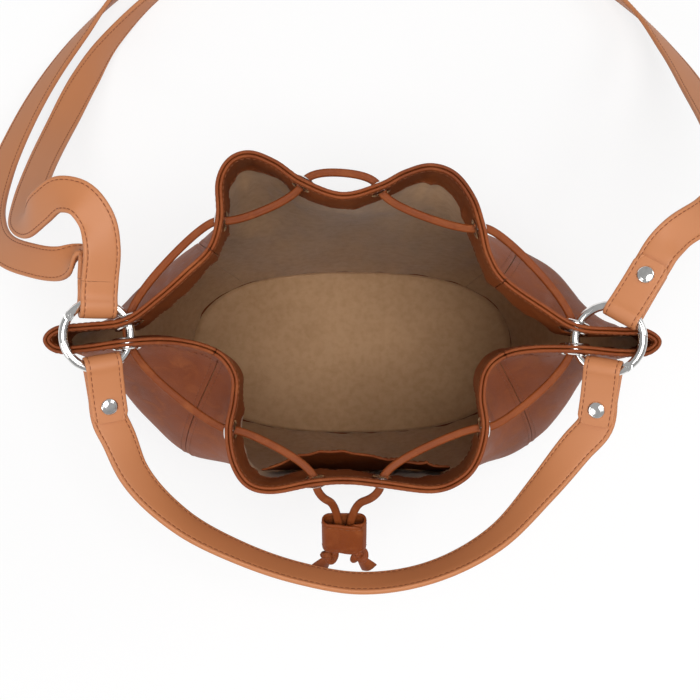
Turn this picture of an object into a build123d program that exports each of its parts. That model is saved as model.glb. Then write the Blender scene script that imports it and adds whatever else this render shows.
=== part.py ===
from build123d import *
import os
from math import cos, hypot, pi, radians, sin

# Drawstring bucket bag: soft leather walls, fabric lining, two gate rings, a short handle
# and a long shoulder strap.  Millimetres, +Z up, +X to the right side, -Y to the front.
# The origin is on the floor, under the middle of the bag's base.

# ---------------------------------------------------------------- driving sizes
bag_height = 240.0        # floor to the rim
collar_height = 40.0      # upright top of the walls, backed by the leather facing
belly_height = 100.0      # level of the widest section
base_length = 246.0
base_depth = 126.0
belly_length = 300.0
belly_depth = 166.0
corner_power = 2.6        # roundness of base and belly: 2 is an ellipse, more is squarer

leather = 2.0             # wall and base leather
facing = 1.8              # leather facing inside the rim
lining = 0.9
board = 2.0               # stiffener in the base
layer_gap = 0.3           # between two layers of the wall
seam_gap = 0.2            # each panel stops this far short of the seam line

eyelet_drop = 10.0        # rim to the middle of an eyelet
cord_eyelet_bore = 7.0
ring_eyelet_bore = 13.0
eyelet_flange = 2.2       # width of the flange round the bore
eyelet_sheet = 0.7
cord = 4.4                # thickness of the drawstring

ring_bore = 32.0
ring_wire = 5.0
ring_tilt = 23.0          # degrees, outer side up
ring_lift = 1.8           # wire above the middle of the eyelet, which leaves room for the cord
cord_sink = 3.2           # cord below the middle of the same eyelet
gate_gap = 0.25
scarf = 6.0               # degrees by which the gate's free end is cut back
gate_pin = 1.4
pin_clearance = 0.08

strap_width = 20.0
strap_thickness = 3.0
tab_leather = 1.6         # leather tab folded round a ring and riveted to the strap
loop_clearance = 2.0      # round the wire, inside a tab
loop_offset = 1.7         # middle of the loop inside the wire's own circle, as the wire curves
fold_length = 32.0        # ring to the end of the folded tab
strap_start = 13.0        # ring to the end of the strap inside the tab
rivet_place = 23.0        # ring to the rivet
rivet_head = 9.5
rivet_head_height = 1.6
rivet_post = 3.2
rivet_room = 0.1          # round the post, in the leather
handle_dip = 15.0         # degrees below level at which the handle stands out

sleeve_width = 26.0
sleeve_length = 24.0
sleeve_thickness = 10.0
sleeve_travel = 6.0
knot_length = 17.0
knot_diameter = 11.0

pocket_depth = 95.0
pocket_gape = 9.0
pocket_leather = 1.6

buckle_bar = 3.2
buckle_length = 26.0

# ---------------------------------------------------------------- outline of the rim
# The glue line between wall and facing, seen from above, from the left end over the back
# to the right end and back along the front.
rim_back = [
    (-169, 4), (-163, 9.5), (-148, 11), (-126, 14.5), (-108, 27), (-92, 41), (-79, 54), (-74, 71),
    (-74, 91), (-68, 103), (-57, 107), (-43, 102), (-28, 92), (-6, 84), (15, 89), (29, 96), (43, 99.5),
    (56, 95), (66, 82), (71, 67), (75, 51), (84, 37), (106, 22), (124, 11.5), (146, 9), (161, 8.5),
]
rim_front = [
    (168.5, 3), (162, -3), (146, -3.5), (124, -1), (101, -1), (84, -4.5), (74, -13), (71, -27),
    (73, -45), (69, -62), (60, -73), (44, -78.5), (16, -75), (-3, -73.5), (-21, -75), (-44, -79),
    (-58, -75.5), (-66, -63), (-68.5, -46), (-65.5, -29), (-66, -15), (-76, -3), (-98, 3), (-126, 2),
    (-148, -1), (-163, -1.5),
]
rim_line = rim_back + rim_front


def closed_lengths(points):
    """Share of the whole way round at which each point lies."""
    steps = [hypot(b[0] - a[0], b[1] - a[1]) for a, b in zip(points, points[1:] + points[:1])]
    total = sum(steps)
    return [sum(steps[:i]) / total for i in range(len(points))]


def outward(points, index):
    """Outward normal of a closed outline at one of its points."""
    before, after = points[index - 1], points[(index + 1) % len(points)]
    run = (after[0] - before[0], after[1] - before[1])
    size = hypot(*run)
    return -run[1] / size, run[0] / size


def outset(points, distance):
    """The outline moved outwards by a distance."""
    moved = []
    for index, (x, y) in enumerate(points):
        nx, ny = outward(points, index)
        moved.append((x + nx * distance, y + ny * distance))
    return moved


def oval(length, depth):
    """Superellipse with one point for each point of the rim, at the same shares of the way round."""
    steps = 720
    dense = []
    for step in range(steps):
        angle = pi - 2 * pi * step / steps
        c, s = cos(angle), sin(angle)
        reach = (abs(c) ** corner_power + abs(s) ** corner_power) ** (-1 / corner_power)
        dense.append((length / 2 * c * reach, depth / 2 * s * reach))
    shares = closed_lengths(dense)
    points = []
    for share in closed_lengths(rim_line):
        nearest = min(range(steps), key=lambda i: abs(shares[i] - share))
        points.append(dense[nearest])
    return points


floor_top = leather       # top of the base leather, where the walls start
collar_base = bag_height - collar_height
wall_levels = [
    (floor_top, oval(base_length, base_depth)),
    (belly_height, oval(belly_length, belly_depth)),
    (collar_base, rim_line),
]


def panel_section(outline, stations, outside, inside):
    """Face of one panel at one level, between two distances from the glue line."""
    edges = []
    for line in (outset(outline, outside), outset(outline, inside)):
        points = [Vector(*line[i]) for i in stations]
        points[0] += (points[1] - points[0]).normalized() * seam_gap
        points[-1] += (points[-2] - points[-1]).normalized() * seam_gap
        edges.append(points)
    with BuildSketch() as section:
        with BuildLine():
            outer_edge = Spline(*edges[0])
            inner_edge = Spline(*edges[1])
            Line(outer_edge @ 0, inner_edge @ 0)
            Line(outer_edge @ 1, inner_edge @ 1)
        make_face()
    return section.sketch


def lower_wall(stations, outside, inside):
    """Panel from the base over the belly to the foot of the collar."""
    with BuildPart() as wall:
        for height, outline in wall_levels:
            with BuildSketch(Plane.XY.offset(height)):
                add(panel_section(outline, stations, outside, inside))
        loft()
    return wall.part


def collar(stations, outside, inside):
    """Upright panel from the foot of the collar to the rim."""
    with BuildPart() as wall:
        with BuildSketch(Plane.XY.offset(collar_base)):
            add(panel_section(rim_line, stations, outside, inside))
        extrude(amount=collar_height)
    return wall.part


# ---------------------------------------------------------------- eyelets
eyelet_height = bag_height - eyelet_drop
wall_inside = -layer_gap - facing


def rim_place(x, y):
    """Plane on the glue line at one of the rim's points, looking outwards."""
    nx, ny = outward(rim_line, rim_line.index((x, y)))
    return Plane(origin=(x, y, eyelet_height), x_dir=(0, 0, 1), z_dir=(nx, ny, 0))


cord_eyelet_places = [rim_place(*point) for point in (
    (-21, -75), (-68.5, -46), (-74, 71), (-28, 92), (15, 89), (71, 67), (73, -45), (16, -75),
)]
ring_stations = ((-126, 2), (-126, 14.5), (124, 11.5), (124, -1))
ring_eyelet_places = [rim_place(*point) for point in ring_stations]


def eyelet_holes(places, bore):
    """Cutters for the barrels, and for the flats that the flanges press into the leather."""
    hole, flat = bore / 2 + eyelet_sheet + layer_gap / 2, bore / 2 + eyelet_flange + layer_gap
    with BuildPart() as cutters:
        for place in places:
            with BuildSketch(place.offset(wall_inside - leather)):
                Circle(hole)
            extrude(amount=leather + facing + layer_gap + 2 * leather)
            for level in (leather + layer_gap / 2, wall_inside - layer_gap / 2 - 2 * leather):
                with BuildSketch(place.offset(level)):
                    Circle(flat)
                extrude(amount=2 * leather)
    return cutters.part


def eyelets(places, bore):
    """Barrel through the wall with a flange on each side."""
    inside, outside = wall_inside - layer_gap, leather + layer_gap
    with BuildPart() as group:
        for place in places:
            with BuildSketch(place.offset(inside - eyelet_sheet)):
                Circle(bore / 2 + eyelet_sheet)
                Circle(bore / 2, mode=Mode.SUBTRACT)
            extrude(amount=outside - inside + 2 * eyelet_sheet)
            for level in (inside - eyelet_sheet, outside):
                with BuildSketch(place.offset(level)):
                    Circle(bore / 2 + eyelet_flange)
                    Circle(bore / 2, mode=Mode.SUBTRACT)
                extrude(amount=eyelet_sheet)
    return group.part


cord_holes = eyelet_holes(cord_eyelet_places, cord_eyelet_bore)
ring_holes = eyelet_holes(ring_eyelet_places, ring_eyelet_bore)

# ---------------------------------------------------------------- walls, facing, lining
seam_points = ((-79, 54), (84, 37), (84, -4.5), (-76, -3))
back_left, back_right, front_right, front_left = [rim_line.index(point) for point in seam_points]
rim_count = len(rim_line)
sides = {
    "back": list(range(back_left, back_right + 1)),
    "right": list(range(back_right, front_right + 1)),
    "front": list(range(front_right, front_left + 1)),
    "left": [i % rim_count for i in range(front_left, rim_count + back_left + 1)],
}
panel_names = {
    "front": "front_panel", "back": "back_panel", "left": "left_gusset", "right": "right_gusset",
}


def save(part, name):
    """Label a finished piece and write it."""
    part.label = name
    export_step(part, f"parts/{name}.step")
    print(f"{name:22s} solids {len(part.solids()):3d}  volume {part.volume:10.1f}", flush=True)


os.makedirs("parts", exist_ok=True)
for side, stations in sides.items():
    with BuildPart() as panel:
        add(lower_wall(stations, leather, 0))
        add(collar(stations, leather, 0))
        add(cord_holes, mode=Mode.SUBTRACT)
        add(ring_holes, mode=Mode.SUBTRACT)
    save(panel.part, panel_names[side])
    with BuildPart() as rim_facing:
        add(collar(stations, -layer_gap, wall_inside))
        add(cord_holes, mode=Mode.SUBTRACT)
        add(ring_holes, mode=Mode.SUBTRACT)
    save(rim_facing.part, f"rim_facing_{side}")

board_low = floor_top + layer_gap
board_top = board_low + board
lining_floor_low = board_top + layer_gap

for side, stations in sides.items():
    save(lower_wall(stations, -layer_gap, -layer_gap - lining), f"lining_{side}")

with BuildPart() as base_panel:
    with BuildSketch():
        with BuildLine():
            Spline(*outset(oval(base_length, base_depth), leather), periodic=True)
        make_face()
    extrude(amount=floor_top)
save(base_panel.part, "base_panel")


def base_layer(low, thickness):
    """Flat layer that fills the lining at the bottom of the bag."""
    with BuildPart() as layer:
        with BuildSketch(Plane.XY.offset(low)):
            with BuildLine():
                Spline(*outset(oval(base_length, base_depth), -lining - 2 * layer_gap), periodic=True)
            make_face()
        extrude(amount=thickness)
    return layer.part


save(base_layer(board_low, board), "base_board")
save(base_layer(lining_floor_low, lining), "lining_floor")

# ---------------------------------------------------------------- slip pocket
far = 400.0               # larger than the bag, for cutting blocks
pocket_back = -2 * layer_gap - lining
pocket_stations = list(range(rim_line.index((60, -73)), rim_line.index((-58, -75.5)) + 1))


def pocket_layer(outside, inside, stations, low):
    """Part of the front wall's shape, moved inwards and cut off below."""
    with BuildPart() as layer:
        add(lower_wall(stations, outside, inside))
        with Locations((0, 0, low + far / 2)):
            Box(2 * far, 2 * far, far, mode=Mode.INTERSECT)
    return layer.part


pocket_foot = collar_base - pocket_depth
pocket_inside = pocket_back - pocket_gape
pocket_floor = pocket_foot + pocket_leather
with BuildPart() as slip_pocket:
    add(pocket_layer(pocket_back, pocket_inside - pocket_leather, pocket_stations, pocket_foot))
    add(
        pocket_layer(pocket_back + 1, pocket_inside, pocket_stations[1:-1], pocket_floor),
        mode=Mode.SUBTRACT,
    )
save(slip_pocket.part, "slip_pocket")
save(eyelets(cord_eyelet_places, cord_eyelet_bore), "drawstring_eyelets")
save(eyelets(ring_eyelet_places, ring_eyelet_bore), "ring_eyelets")

# ---------------------------------------------------------------- rings and gates
ring_radius = (ring_bore + ring_wire) / 2
tilt_cos, tilt_sin = cos(radians(ring_tilt)), sin(radians(ring_tilt))
ring_inner_x = {-1: -124.0, 1: 124.0}    # the wire's circle where it goes through the eyelets
ring_middle_y = {-1: 6.5, 1: 4.5}
gate_ends = {-1: (34.0, -34.0), 1: (-56.0, 7.0)}    # hinge and free end, degrees from the outermost point
side_name = {-1: "left", 1: "right"}


def ring_plane(side):
    """Plane of a ring: origin in its middle, x outwards and up, y to the back."""
    origin = (
        ring_inner_x[side] + side * ring_radius * tilt_cos,
        ring_middle_y[side],
        eyelet_height + ring_lift + ring_radius * tilt_sin,
    )
    x_dir = Vector(side * tilt_cos, 0, tilt_sin)
    return Plane(origin=origin, x_dir=x_dir, z_dir=x_dir.cross(Vector(0, 1, 0)))


def polar(radius, degrees):
    """Point in the ring's own plane."""
    return Vector(radius * cos(radians(degrees)), radius * sin(radians(degrees)))


def gate_region(plane, hinge, free_end, gap):
    """Block that holds the gate's stretch of the ring, its free end cut on a scarf."""
    pin, free = polar(ring_radius, hinge), polar(ring_radius, free_end)
    turn = scarf if hinge > free_end else -scarf
    scarf_line = (free - pin).normalized().rotate(Axis.Z, 90 + turn)
    if scarf_line.dot(free) > 0:
        scarf_line = scarf_line * -1
    shift = (free - pin).normalized() * gap
    reach = 2 * ring_wire
    points = [
        polar(ring_radius + ring_wire, hinge), polar(ring_radius + 2 * ring_wire, (hinge + free_end) / 2),
        free + shift - scarf_line * reach, free + shift + scarf_line * reach,
        polar(ring_radius - ring_wire, hinge),
    ]
    with BuildPart() as region:
        with BuildSketch(plane.offset(-ring_wire)):
            Polygon(*[(point.X, point.Y) for point in points], align=None)
        extrude(amount=2 * ring_wire)
    return region.part


def ring_set(side):
    """Ring, gate and gate pin of one side."""
    plane = ring_plane(side)
    hinge, free_end = gate_ends[side]
    pin_point = polar(ring_radius, hinge)
    pin_plane = Plane(origin=plane.from_local_coords(pin_point), x_dir=plane.x_dir, z_dir=plane.z_dir)
    ear_radius, knuckle_room, tongue = ring_wire / 2 - 0.1, ring_wire / 2 + 0.3, 0.8
    with BuildPart() as torus:
        with Locations(plane.location):
            Torus(ring_radius, ring_wire / 2)
    with BuildPart() as ring:
        add(torus.part)
        add(gate_region(plane, hinge, free_end, gate_gap), mode=Mode.SUBTRACT)
        with Locations(pin_plane.location):
            Cylinder(ear_radius, ring_wire - 0.8)
            Cylinder(knuckle_room, 2 * tongue + 0.3, mode=Mode.SUBTRACT)
            Cylinder(gate_pin / 2 + 0.02, 2 * ring_wire, mode=Mode.SUBTRACT)
    with BuildPart() as gate:
        add(torus.part)
        add(gate_region(plane, hinge, free_end, 0), mode=Mode.INTERSECT)
        with Locations((pin_plane.offset(ring_wire / 2 + tongue)).location):
            Cylinder(knuckle_room, ring_wire, mode=Mode.SUBTRACT)
        with Locations((pin_plane.offset(-ring_wire / 2 - tongue)).location):
            Cylinder(knuckle_room, ring_wire, mode=Mode.SUBTRACT)
        with Locations(pin_plane.location):
            Cylinder(ear_radius, 2 * tongue)
            Cylinder(gate_pin / 2 + pin_clearance, 2 * ring_wire, mode=Mode.SUBTRACT)
    with BuildPart() as pin:
        with Locations(pin_plane.location):
            Cylinder(gate_pin / 2, ring_wire - 0.4)
    print(f"gate hinge {side_name[side]}", pin_plane.origin, "axis", pin_plane.z_dir)
    return ring.part, gate.part, pin.part


pins = []
for side in (-1, 1):
    ring, gate, pin = ring_set(side)
    save(ring, f"ring_{side_name[side]}")
    save(gate, f"gate_{side_name[side]}")
    pins.append(pin)
with BuildPart() as gate_pins:
    add(pins)
save(gate_pins.part, "gate_pins")


# ---------------------------------------------------------------- tabs and straps
def ribbon(stations, thickness):
    """Flat strap through (point, width direction) stations."""
    points = [Vector(point) for point, _ in stations]
    with BuildPart() as strap:
        for index, (point, width_dir) in enumerate(stations):
            before, after = points[max(index - 1, 0)], points[min(index + 1, len(points) - 1)]
            tangent = (after - before).normalized()
            across = Vector(width_dir)
            across = (across - tangent * across.dot(tangent)).normalized()
            with BuildSketch(Plane(origin=point, x_dir=across, z_dir=tangent)):
                Rectangle(strap_width, thickness)
        loft(ruled=True)
    return strap.part


class TabFrame:
    """Where a tab or strap leaves a ring: its loop's axis, its way out and its upper side."""

    def __init__(self, side, angle, rise):
        plane = ring_plane(side)
        radial = plane.x_dir * cos(radians(angle)) + plane.y_dir * sin(radians(angle))
        self.origin = Vector(plane.origin) + radial * (ring_radius - loop_offset)
        front = plane.y_dir * (cos(radians(angle)) * (angle / abs(angle)))
        self.across = plane.x_dir * sin(radians(abs(angle))) - front
        way = Vector(0, radial.Y, 0).normalized() * cos(radians(rise)) + Vector(0, 0, sin(radians(rise)))
        way = way + Vector(radial.X, 0, 0)
        self.along = (way - self.across * way.dot(self.across)).normalized()
        up = self.along.cross(self.across)
        self.up = up if up.Z > 0 else up * -1

    def point(self, out, above):
        """Point at a distance out of the ring and above the strap's middle."""
        return self.origin + self.along * out + self.up * above

    def rivet_plane(self, above):
        """Plane square to the rivet, at a distance above the strap's middle."""
        return Plane(origin=self.point(rivet_place, above), x_dir=self.across, z_dir=self.up)

    def station(self, out, above=0.0):
        """Point of a strap and its width direction."""
        return self.point(out, above), self.across


def tab(frame):
    """Leather tab round the ring's wire, its two plies on the strap's two sides."""
    ply = strap_thickness / 2 + layer_gap + tab_leather / 2
    bend = ring_wire / 2 + loop_clearance + tab_leather / 2
    closed, opening, spread = 16, 9, 0.9
    route = [(fold_length, ply), (closed, ply), (opening, ply + spread)]
    route += [(bend * cos(radians(a)), bend * sin(radians(a))) for a in range(60, 301, 30)]
    route += [(opening, -ply - spread), (closed, -ply), (fold_length, -ply)]
    with BuildPart() as piece:
        add(ribbon([frame.station(*step) for step in route], tab_leather))
        with Locations(frame.rivet_plane(0).location):
            Cylinder(rivet_post / 2 + rivet_room, 4 * ply, mode=Mode.SUBTRACT)
    return piece.part


def rivet(frame):
    """Post with a domed cap on top and a flat one below."""
    reach = strap_thickness / 2 + layer_gap + tab_leather + layer_gap
    with BuildPart() as piece:
        with BuildSketch(frame.rivet_plane(-reach)):
            Circle(rivet_post / 2)
        extrude(amount=2 * reach)
        for level in (reach, -reach - rivet_head_height):
            with BuildSketch(frame.rivet_plane(level)):
                Circle(rivet_head / 2)
            extrude(amount=rivet_head_height)
    return piece.part


def with_rivet_holes(part, frames):
    """The strap with a hole for each rivet's post."""
    with BuildPart() as pierced:
        add(part)
        for frame in frames:
            with Locations(frame.rivet_plane(0).location):
                Cylinder(rivet_post / 2 + rivet_room, 4 * strap_thickness, mode=Mode.SUBTRACT)
    return pierced.part


handle_left = TabFrame(-1, -100, -handle_dip)
handle_right = TabFrame(1, -100, -handle_dip)
strap_right = TabFrame(1, 60, 4)
strap_left = TabFrame(-1, 90, 8)
save(tab(handle_left), "handle_tab_left")
save(tab(handle_right), "handle_tab_right")
save(tab(strap_right), "strap_tab_right")

# x, distance out from the rings, and twist in degrees of the handle's course
handle_course = [
    (-132, 40, 32), (-124, 62, 52), (-99, 91, 70), (-65, 111, 79), (-30, 124, 82), (4, 130, 82),
    (43, 124, 82), (82, 102, 72), (108, 71, 54), (126, 46, 34),
]
handle_axis_y = (handle_left.origin.Y + handle_right.origin.Y) / 2
handle_out = Vector(0, -cos(radians(handle_dip)), -sin(radians(handle_dip)))
handle_normal = Vector(0, -sin(radians(handle_dip)), cos(radians(handle_dip)))
course_points = [
    Vector(x, handle_axis_y, handle_left.origin.Z) + handle_out * out for x, out, _ in handle_course
]
stations = [handle_left.station(strap_start), handle_left.station(fold_length)]
for index, point in enumerate(course_points):
    before = course_points[index - 1] if index else stations[1][0]
    last = index + 1 == len(course_points)
    after = handle_right.point(fold_length, 0) if last else course_points[index + 1]
    side_way = (after - before).normalized().cross(handle_normal)
    twist = radians(handle_course[index][2])
    stations.append((point, side_way * cos(twist) + handle_normal * sin(twist)))
stations += [handle_right.station(fold_length), handle_right.station(strap_start)]
save(with_rivet_holes(ribbon(stations, strap_thickness), [handle_left, handle_right]), "handle_strap")
with BuildPart() as handle_rivets:
    add(rivet(handle_left))
    add(rivet(handle_right))
save(handle_rivets.part, "handle_rivets")
print("handle axis through", handle_left.origin, handle_right.origin)


def twisted(course):
    """Stations of a course of (x, y, z, twist): 0 lies flat, 90 stands on its edge."""
    points = [Vector(*step[:3]) for step in course]
    made = []
    for index, point in enumerate(points):
        before, after = points[max(index - 1, 0)], points[min(index + 1, len(points) - 1)]
        tangent = (after - before).normalized()
        level = Vector(0, 0, 1).cross(tangent).normalized()
        rise = tangent.cross(level)
        twist = radians(course[index][3])
        made.append((point, level * cos(twist) + rise * sin(twist)))
    return made


floor_z = strap_width / 2
buckle_z = strap_width / 2 + buckle_bar + layer_gap
buckle_x, buckle_y = -70.0, 308.0
strap_gap = strap_thickness / 2 + buckle_bar / 2 + layer_gap
main_course = [
    (176, 61, 245, 0), (196, 74, 237, 0), (214, 90, 217, 0), (227, 112, 184, 0), (234, 142, 142, 0),
    (236, 176, 96, 10), (232, 216, 50, 36), (213, 260, 16, 70), (176, 292, floor_z, 90),
    (118, 309, floor_z, 90), (50, 315, floor_z, 90), (-20, 314, floor_z + 1, 90),
    (-50, buckle_y + strap_gap, buckle_z, 90), (-92, buckle_y + strap_gap, buckle_z, 90),
    (-114, 310, floor_z + 2, 90), (-148, 298, floor_z, 90), (-180, 272, floor_z + 2, 80),
    (-204, 236, 26, 50), (-221, 196, 52, 35), (-231, 154, 84, 25), (-235, 114, 116, 15),
    (-230, 82, 146, 10), (-214, 62, 174, 8), (-190, 52, 200, 6), (-168, 48, 218, 4),
]
return_course = [
    (-138, 68, 254, 0), (-146, 79, 255, 0), (-159, 83, 249, 0), (-173, 78, 236, 0), (-186, 73, 216, 0),
    (-197, 78, 190, 0), (-203, 95, 158, 0), (-206, 124, 118, 0), (-204, 160, 76, 8), (-196, 200, 42, 40),
    (-180, 240, 16, 75), (-152, 272, floor_z, 90), (-120, 294, floor_z + 1, 90),
    (-92, buckle_y - strap_gap, buckle_z, 90), (-52, buckle_y - strap_gap, buckle_z, 90),
]
bight = ring_wire / 2 + loop_clearance + strap_thickness / 2
bight_end = 13.0          # out of the ring, where the bight passes into the two strands
strand_start = 13.6
strand_rise = 6.5         # of each strand above or below the middle of the bight, at its start
bight_route = [(bight_end, strand_rise)]
bight_route += [(bight * cos(radians(a)), bight * sin(radians(a))) for a in range(60, 301, 30)]
bight_route += [(bight_end, -strand_rise)]
save(ribbon([strap_left.station(*step) for step in bight_route], strap_thickness), "strap_bight")

main_stations = [strap_right.station(out) for out in (strap_start, fold_length, fold_length + 6)]
main_stations += twisted(main_course)
main_stations += [strap_left.station(28, -9.5), strap_left.station(strand_start, -strand_rise)]
save(with_rivet_holes(ribbon(main_stations, strap_thickness), [strap_right]), "shoulder_strap")
return_stations = [strap_left.station(strand_start, strand_rise), strap_left.station(32, 10)]
return_stations += twisted(return_course)
save(ribbon(return_stations, strap_thickness), "strap_return")
save(rivet(strap_right), "strap_rivet")

with BuildPart() as strap_buckle:
    buckle_origin = (buckle_x, buckle_y - buckle_bar / 2, buckle_z)
    with BuildSketch(Plane(origin=buckle_origin, x_dir=(1, 0, 0), z_dir=(0, 1, 0))):
        Rectangle(buckle_length, strap_width + 2 * layer_gap + 2 * buckle_bar)
        with GridLocations((buckle_length - buckle_bar) / 2, 0, 2, 1):
            Rectangle((buckle_length - 3 * buckle_bar) / 2, strap_width + 2 * layer_gap, mode=Mode.SUBTRACT)
    extrude(amount=buckle_bar)
save(strap_buckle.part, "strap_buckle")

# ---------------------------------------------------------------- drawstring, sleeve and knots
sleeve_tilt = 40.0        # degrees above level at which the cords run back to the rim
sleeve_middle = Vector(-5, -108, 201)
cord_spread = 5.0         # between the middles of the two cords in the sleeve
cord_room = 0.5           # round each cord inside the sleeve
cord_way = Vector(0, cos(radians(sleeve_tilt)), sin(radians(sleeve_tilt)))
passing = 8.0             # glue line to where the cord turns on each side of an eyelet
knot_gap = 3.0            # sleeve to the knots
knot_flare = 0.55         # the knots turn away from each other


def beside(place, distance, drop):
    """Point in front of or behind an eyelet."""
    return Vector(place.origin) + place.z_dir * distance + Vector(0, 0, -drop)


def cord_through(place, inwards):
    """Two points of the cord, one on each side of an eyelet."""
    steps = [beside(place, passing, 0), beside(place, -passing, 0)]
    return steps if inwards else steps[::-1]


def sleeve_point(side, out):
    """Point on one of the two cords at a distance from the sleeve's middle, towards the rim."""
    return sleeve_middle + Vector(side * cord_spread / 2, 0, 0) + cord_way * out


def cord_round(first, second):
    """Two points of the cord, where it passes through a ring from one eyelet to the next."""
    return [beside(first, passing, cord_sink), beside(second, passing, cord_sink)]


e = cord_eyelet_places
r = ring_eyelet_places
cord_end = -sleeve_length / 2 - knot_gap
cord_bend = sleeve_length / 2 + sleeve_travel + 5
cord_points = [sleeve_point(-1, cord_end), sleeve_point(-1, cord_bend)]
cord_points += cord_through(e[0], True) + cord_through(e[1], False)
cord_points += cord_round(r[0], r[1])
cord_points += cord_through(e[2], True) + cord_through(e[3], False)
cord_points += cord_through(e[4], True) + cord_through(e[5], False)
cord_points += cord_round(r[2], r[3])
cord_points += cord_through(e[6], True) + cord_through(e[7], False)
cord_points += [sleeve_point(1, cord_bend), sleeve_point(1, cord_end)]

arc_share = 0.45          # of the shorter run, taken by the arc at a corner
sleeve_arc_share = 0.2    # the same next to the sleeve, which slides along the straight cord


def corner_radii(points):
    """Arcs that fit between the runs of a route."""
    radii = []
    shares = [sleeve_arc_share] + [arc_share] * (len(points) - 4) + [sleeve_arc_share]
    for before, corner, after, share in zip(points, points[1:], points[2:], shares):
        runs = corner - before, after - corner
        turn = radians(runs[0].get_angle(runs[1]))
        radii.append(share * min(runs[0].length, runs[1].length) / (sin(turn / 2) / cos(turn / 2)))
    return radii


cord_radii = corner_radii(cord_points)
print("drawstring radii", [round(radius, 1) for radius in cord_radii])
with BuildPart() as drawstring:
    with BuildLine() as route:
        FilletPolyline(*cord_points, radius=cord_radii)
    with BuildSketch(Plane(origin=cord_points[0], z_dir=cord_way)):
        Circle(cord / 2)
    sweep()
print("drawstring length", round(route.wires()[0].length, 1))
save(drawstring.part, "drawstring")

sleeve_foot = sleeve_middle - cord_way * (sleeve_length / 2)
sleeve_plane = Plane(origin=sleeve_foot, x_dir=(1, 0, 0), z_dir=cord_way)
with BuildPart() as toggle_sleeve:
    with BuildSketch(sleeve_plane):
        RectangleRounded(sleeve_width, sleeve_thickness, sleeve_thickness / 2 - 0.5)
        with GridLocations(cord_spread, 0, 2, 1):
            Circle(cord / 2 + cord_room, mode=Mode.SUBTRACT)
    extrude(amount=sleeve_length)
save(toggle_sleeve.part, "toggle_sleeve")

with BuildPart() as drawstring_knots:
    for side in (-1, 1):
        knot_way = (Vector(side * knot_flare, 0, 0) - cord_way).normalized()
        knot_shift = Vector(side * (knot_diameter / 2 - cord / 2), 0, 0)
        knot_middle = sleeve_point(side, cord_end) + knot_way * (knot_length / 2) + knot_shift
        with Locations(Plane(origin=knot_middle, z_dir=knot_way).location):
            Cylinder(knot_diameter / 2, knot_length)
save(drawstring_knots.part, "drawstring_knots")
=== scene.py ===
from math import ceil, cos, pi, radians, sin, tan

import bmesh
import bpy
import numpy as np
from bpy.props import FloatProperty, FloatVectorProperty, PointerProperty
from bpy.types import Operator, Panel, PropertyGroup
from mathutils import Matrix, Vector, noise


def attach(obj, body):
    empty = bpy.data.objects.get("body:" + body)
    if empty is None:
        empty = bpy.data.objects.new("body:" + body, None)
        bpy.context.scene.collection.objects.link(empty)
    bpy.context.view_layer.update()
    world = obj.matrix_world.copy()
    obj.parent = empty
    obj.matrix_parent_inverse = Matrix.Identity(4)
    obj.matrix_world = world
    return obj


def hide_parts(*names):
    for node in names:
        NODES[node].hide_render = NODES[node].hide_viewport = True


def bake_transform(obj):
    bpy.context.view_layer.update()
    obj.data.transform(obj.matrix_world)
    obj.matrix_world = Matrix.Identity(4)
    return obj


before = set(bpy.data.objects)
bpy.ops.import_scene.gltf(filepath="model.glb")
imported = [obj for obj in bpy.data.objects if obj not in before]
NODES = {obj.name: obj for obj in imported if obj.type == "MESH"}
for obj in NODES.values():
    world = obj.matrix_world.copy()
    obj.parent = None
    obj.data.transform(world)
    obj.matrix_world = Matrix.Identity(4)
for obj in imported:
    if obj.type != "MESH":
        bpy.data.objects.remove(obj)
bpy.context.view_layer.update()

bl_info = {
    "name": "Bucket Bag",
    "version": (1, 0, 0),
    "blender": (4, 5, 0),
    "location": "View3D > Sidebar > Bucket Bag",
    "description": "Leather, lining, straps and hardware of a drawstring bucket bag",
    "category": "Add Mesh",
}

MM = 0.001

# ------------------------------------------------------------------ outline of the bag
# Glue line of the rim in millimetres, seen from above, from the left end over the back
# to the right end and back along the front.
RIM = [
    (-169, 4), (-163, 9.5), (-148, 11), (-126, 14.5), (-108, 27), (-92, 41), (-79, 54), (-74, 71),
    (-74, 91), (-68, 103), (-57, 107), (-43, 102), (-28, 92), (-6, 84), (15, 89), (29, 96), (43, 99.5),
    (56, 95), (66, 82), (71, 67), (75, 51), (84, 37), (106, 22), (124, 11.5), (146, 9), (161, 8.5),
    (168.5, 3), (162, -3), (146, -3.5), (124, -1), (101, -1), (84, -4.5), (74, -13), (71, -27),
    (73, -45), (69, -62), (60, -73), (44, -78.5), (16, -75), (-3, -73.5), (-21, -75), (-44, -79),
    (-58, -75.5), (-66, -63), (-68.5, -46), (-65.5, -29), (-66, -15), (-76, -3), (-98, 3), (-126, 2),
    (-148, -1), (-163, -1.5),
]
COLUMNS_EACH = 8          # columns of the mesh for each point of the rim
COLUMNS = len(RIM) * COLUMNS_EACH
CORNER_POWER = 2.6
BASE_SIZE = (0.246, 0.126)
BELLY_SIZE = (0.300, 0.166)
BELLY_HEIGHT = 0.1
COLLAR_FOOT = 0.2
RIM_HEIGHT = 0.24
WALL_FOOT = 0.0022
LINING_FOOT = 0.0048
FACING_GAP = 0.0003       # between the wall and the facing
LINING_GAP = 0.0004       # between the wall and the lining
THREAD_LIFT = 0.0001      # middle of the thread above the leather
SEAMS = {"back": ((-79, 54), (84, 37)), "right": ((84, 37), (84, -4.5)),
         "front": ((84, -4.5), (-76, -3)), "left": ((-76, -3), (-79, 54))}
WALL_NODES = {"back": "back_panel", "right": "right_gusset", "front": "front_panel", "left": "left_gusset"}


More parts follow.
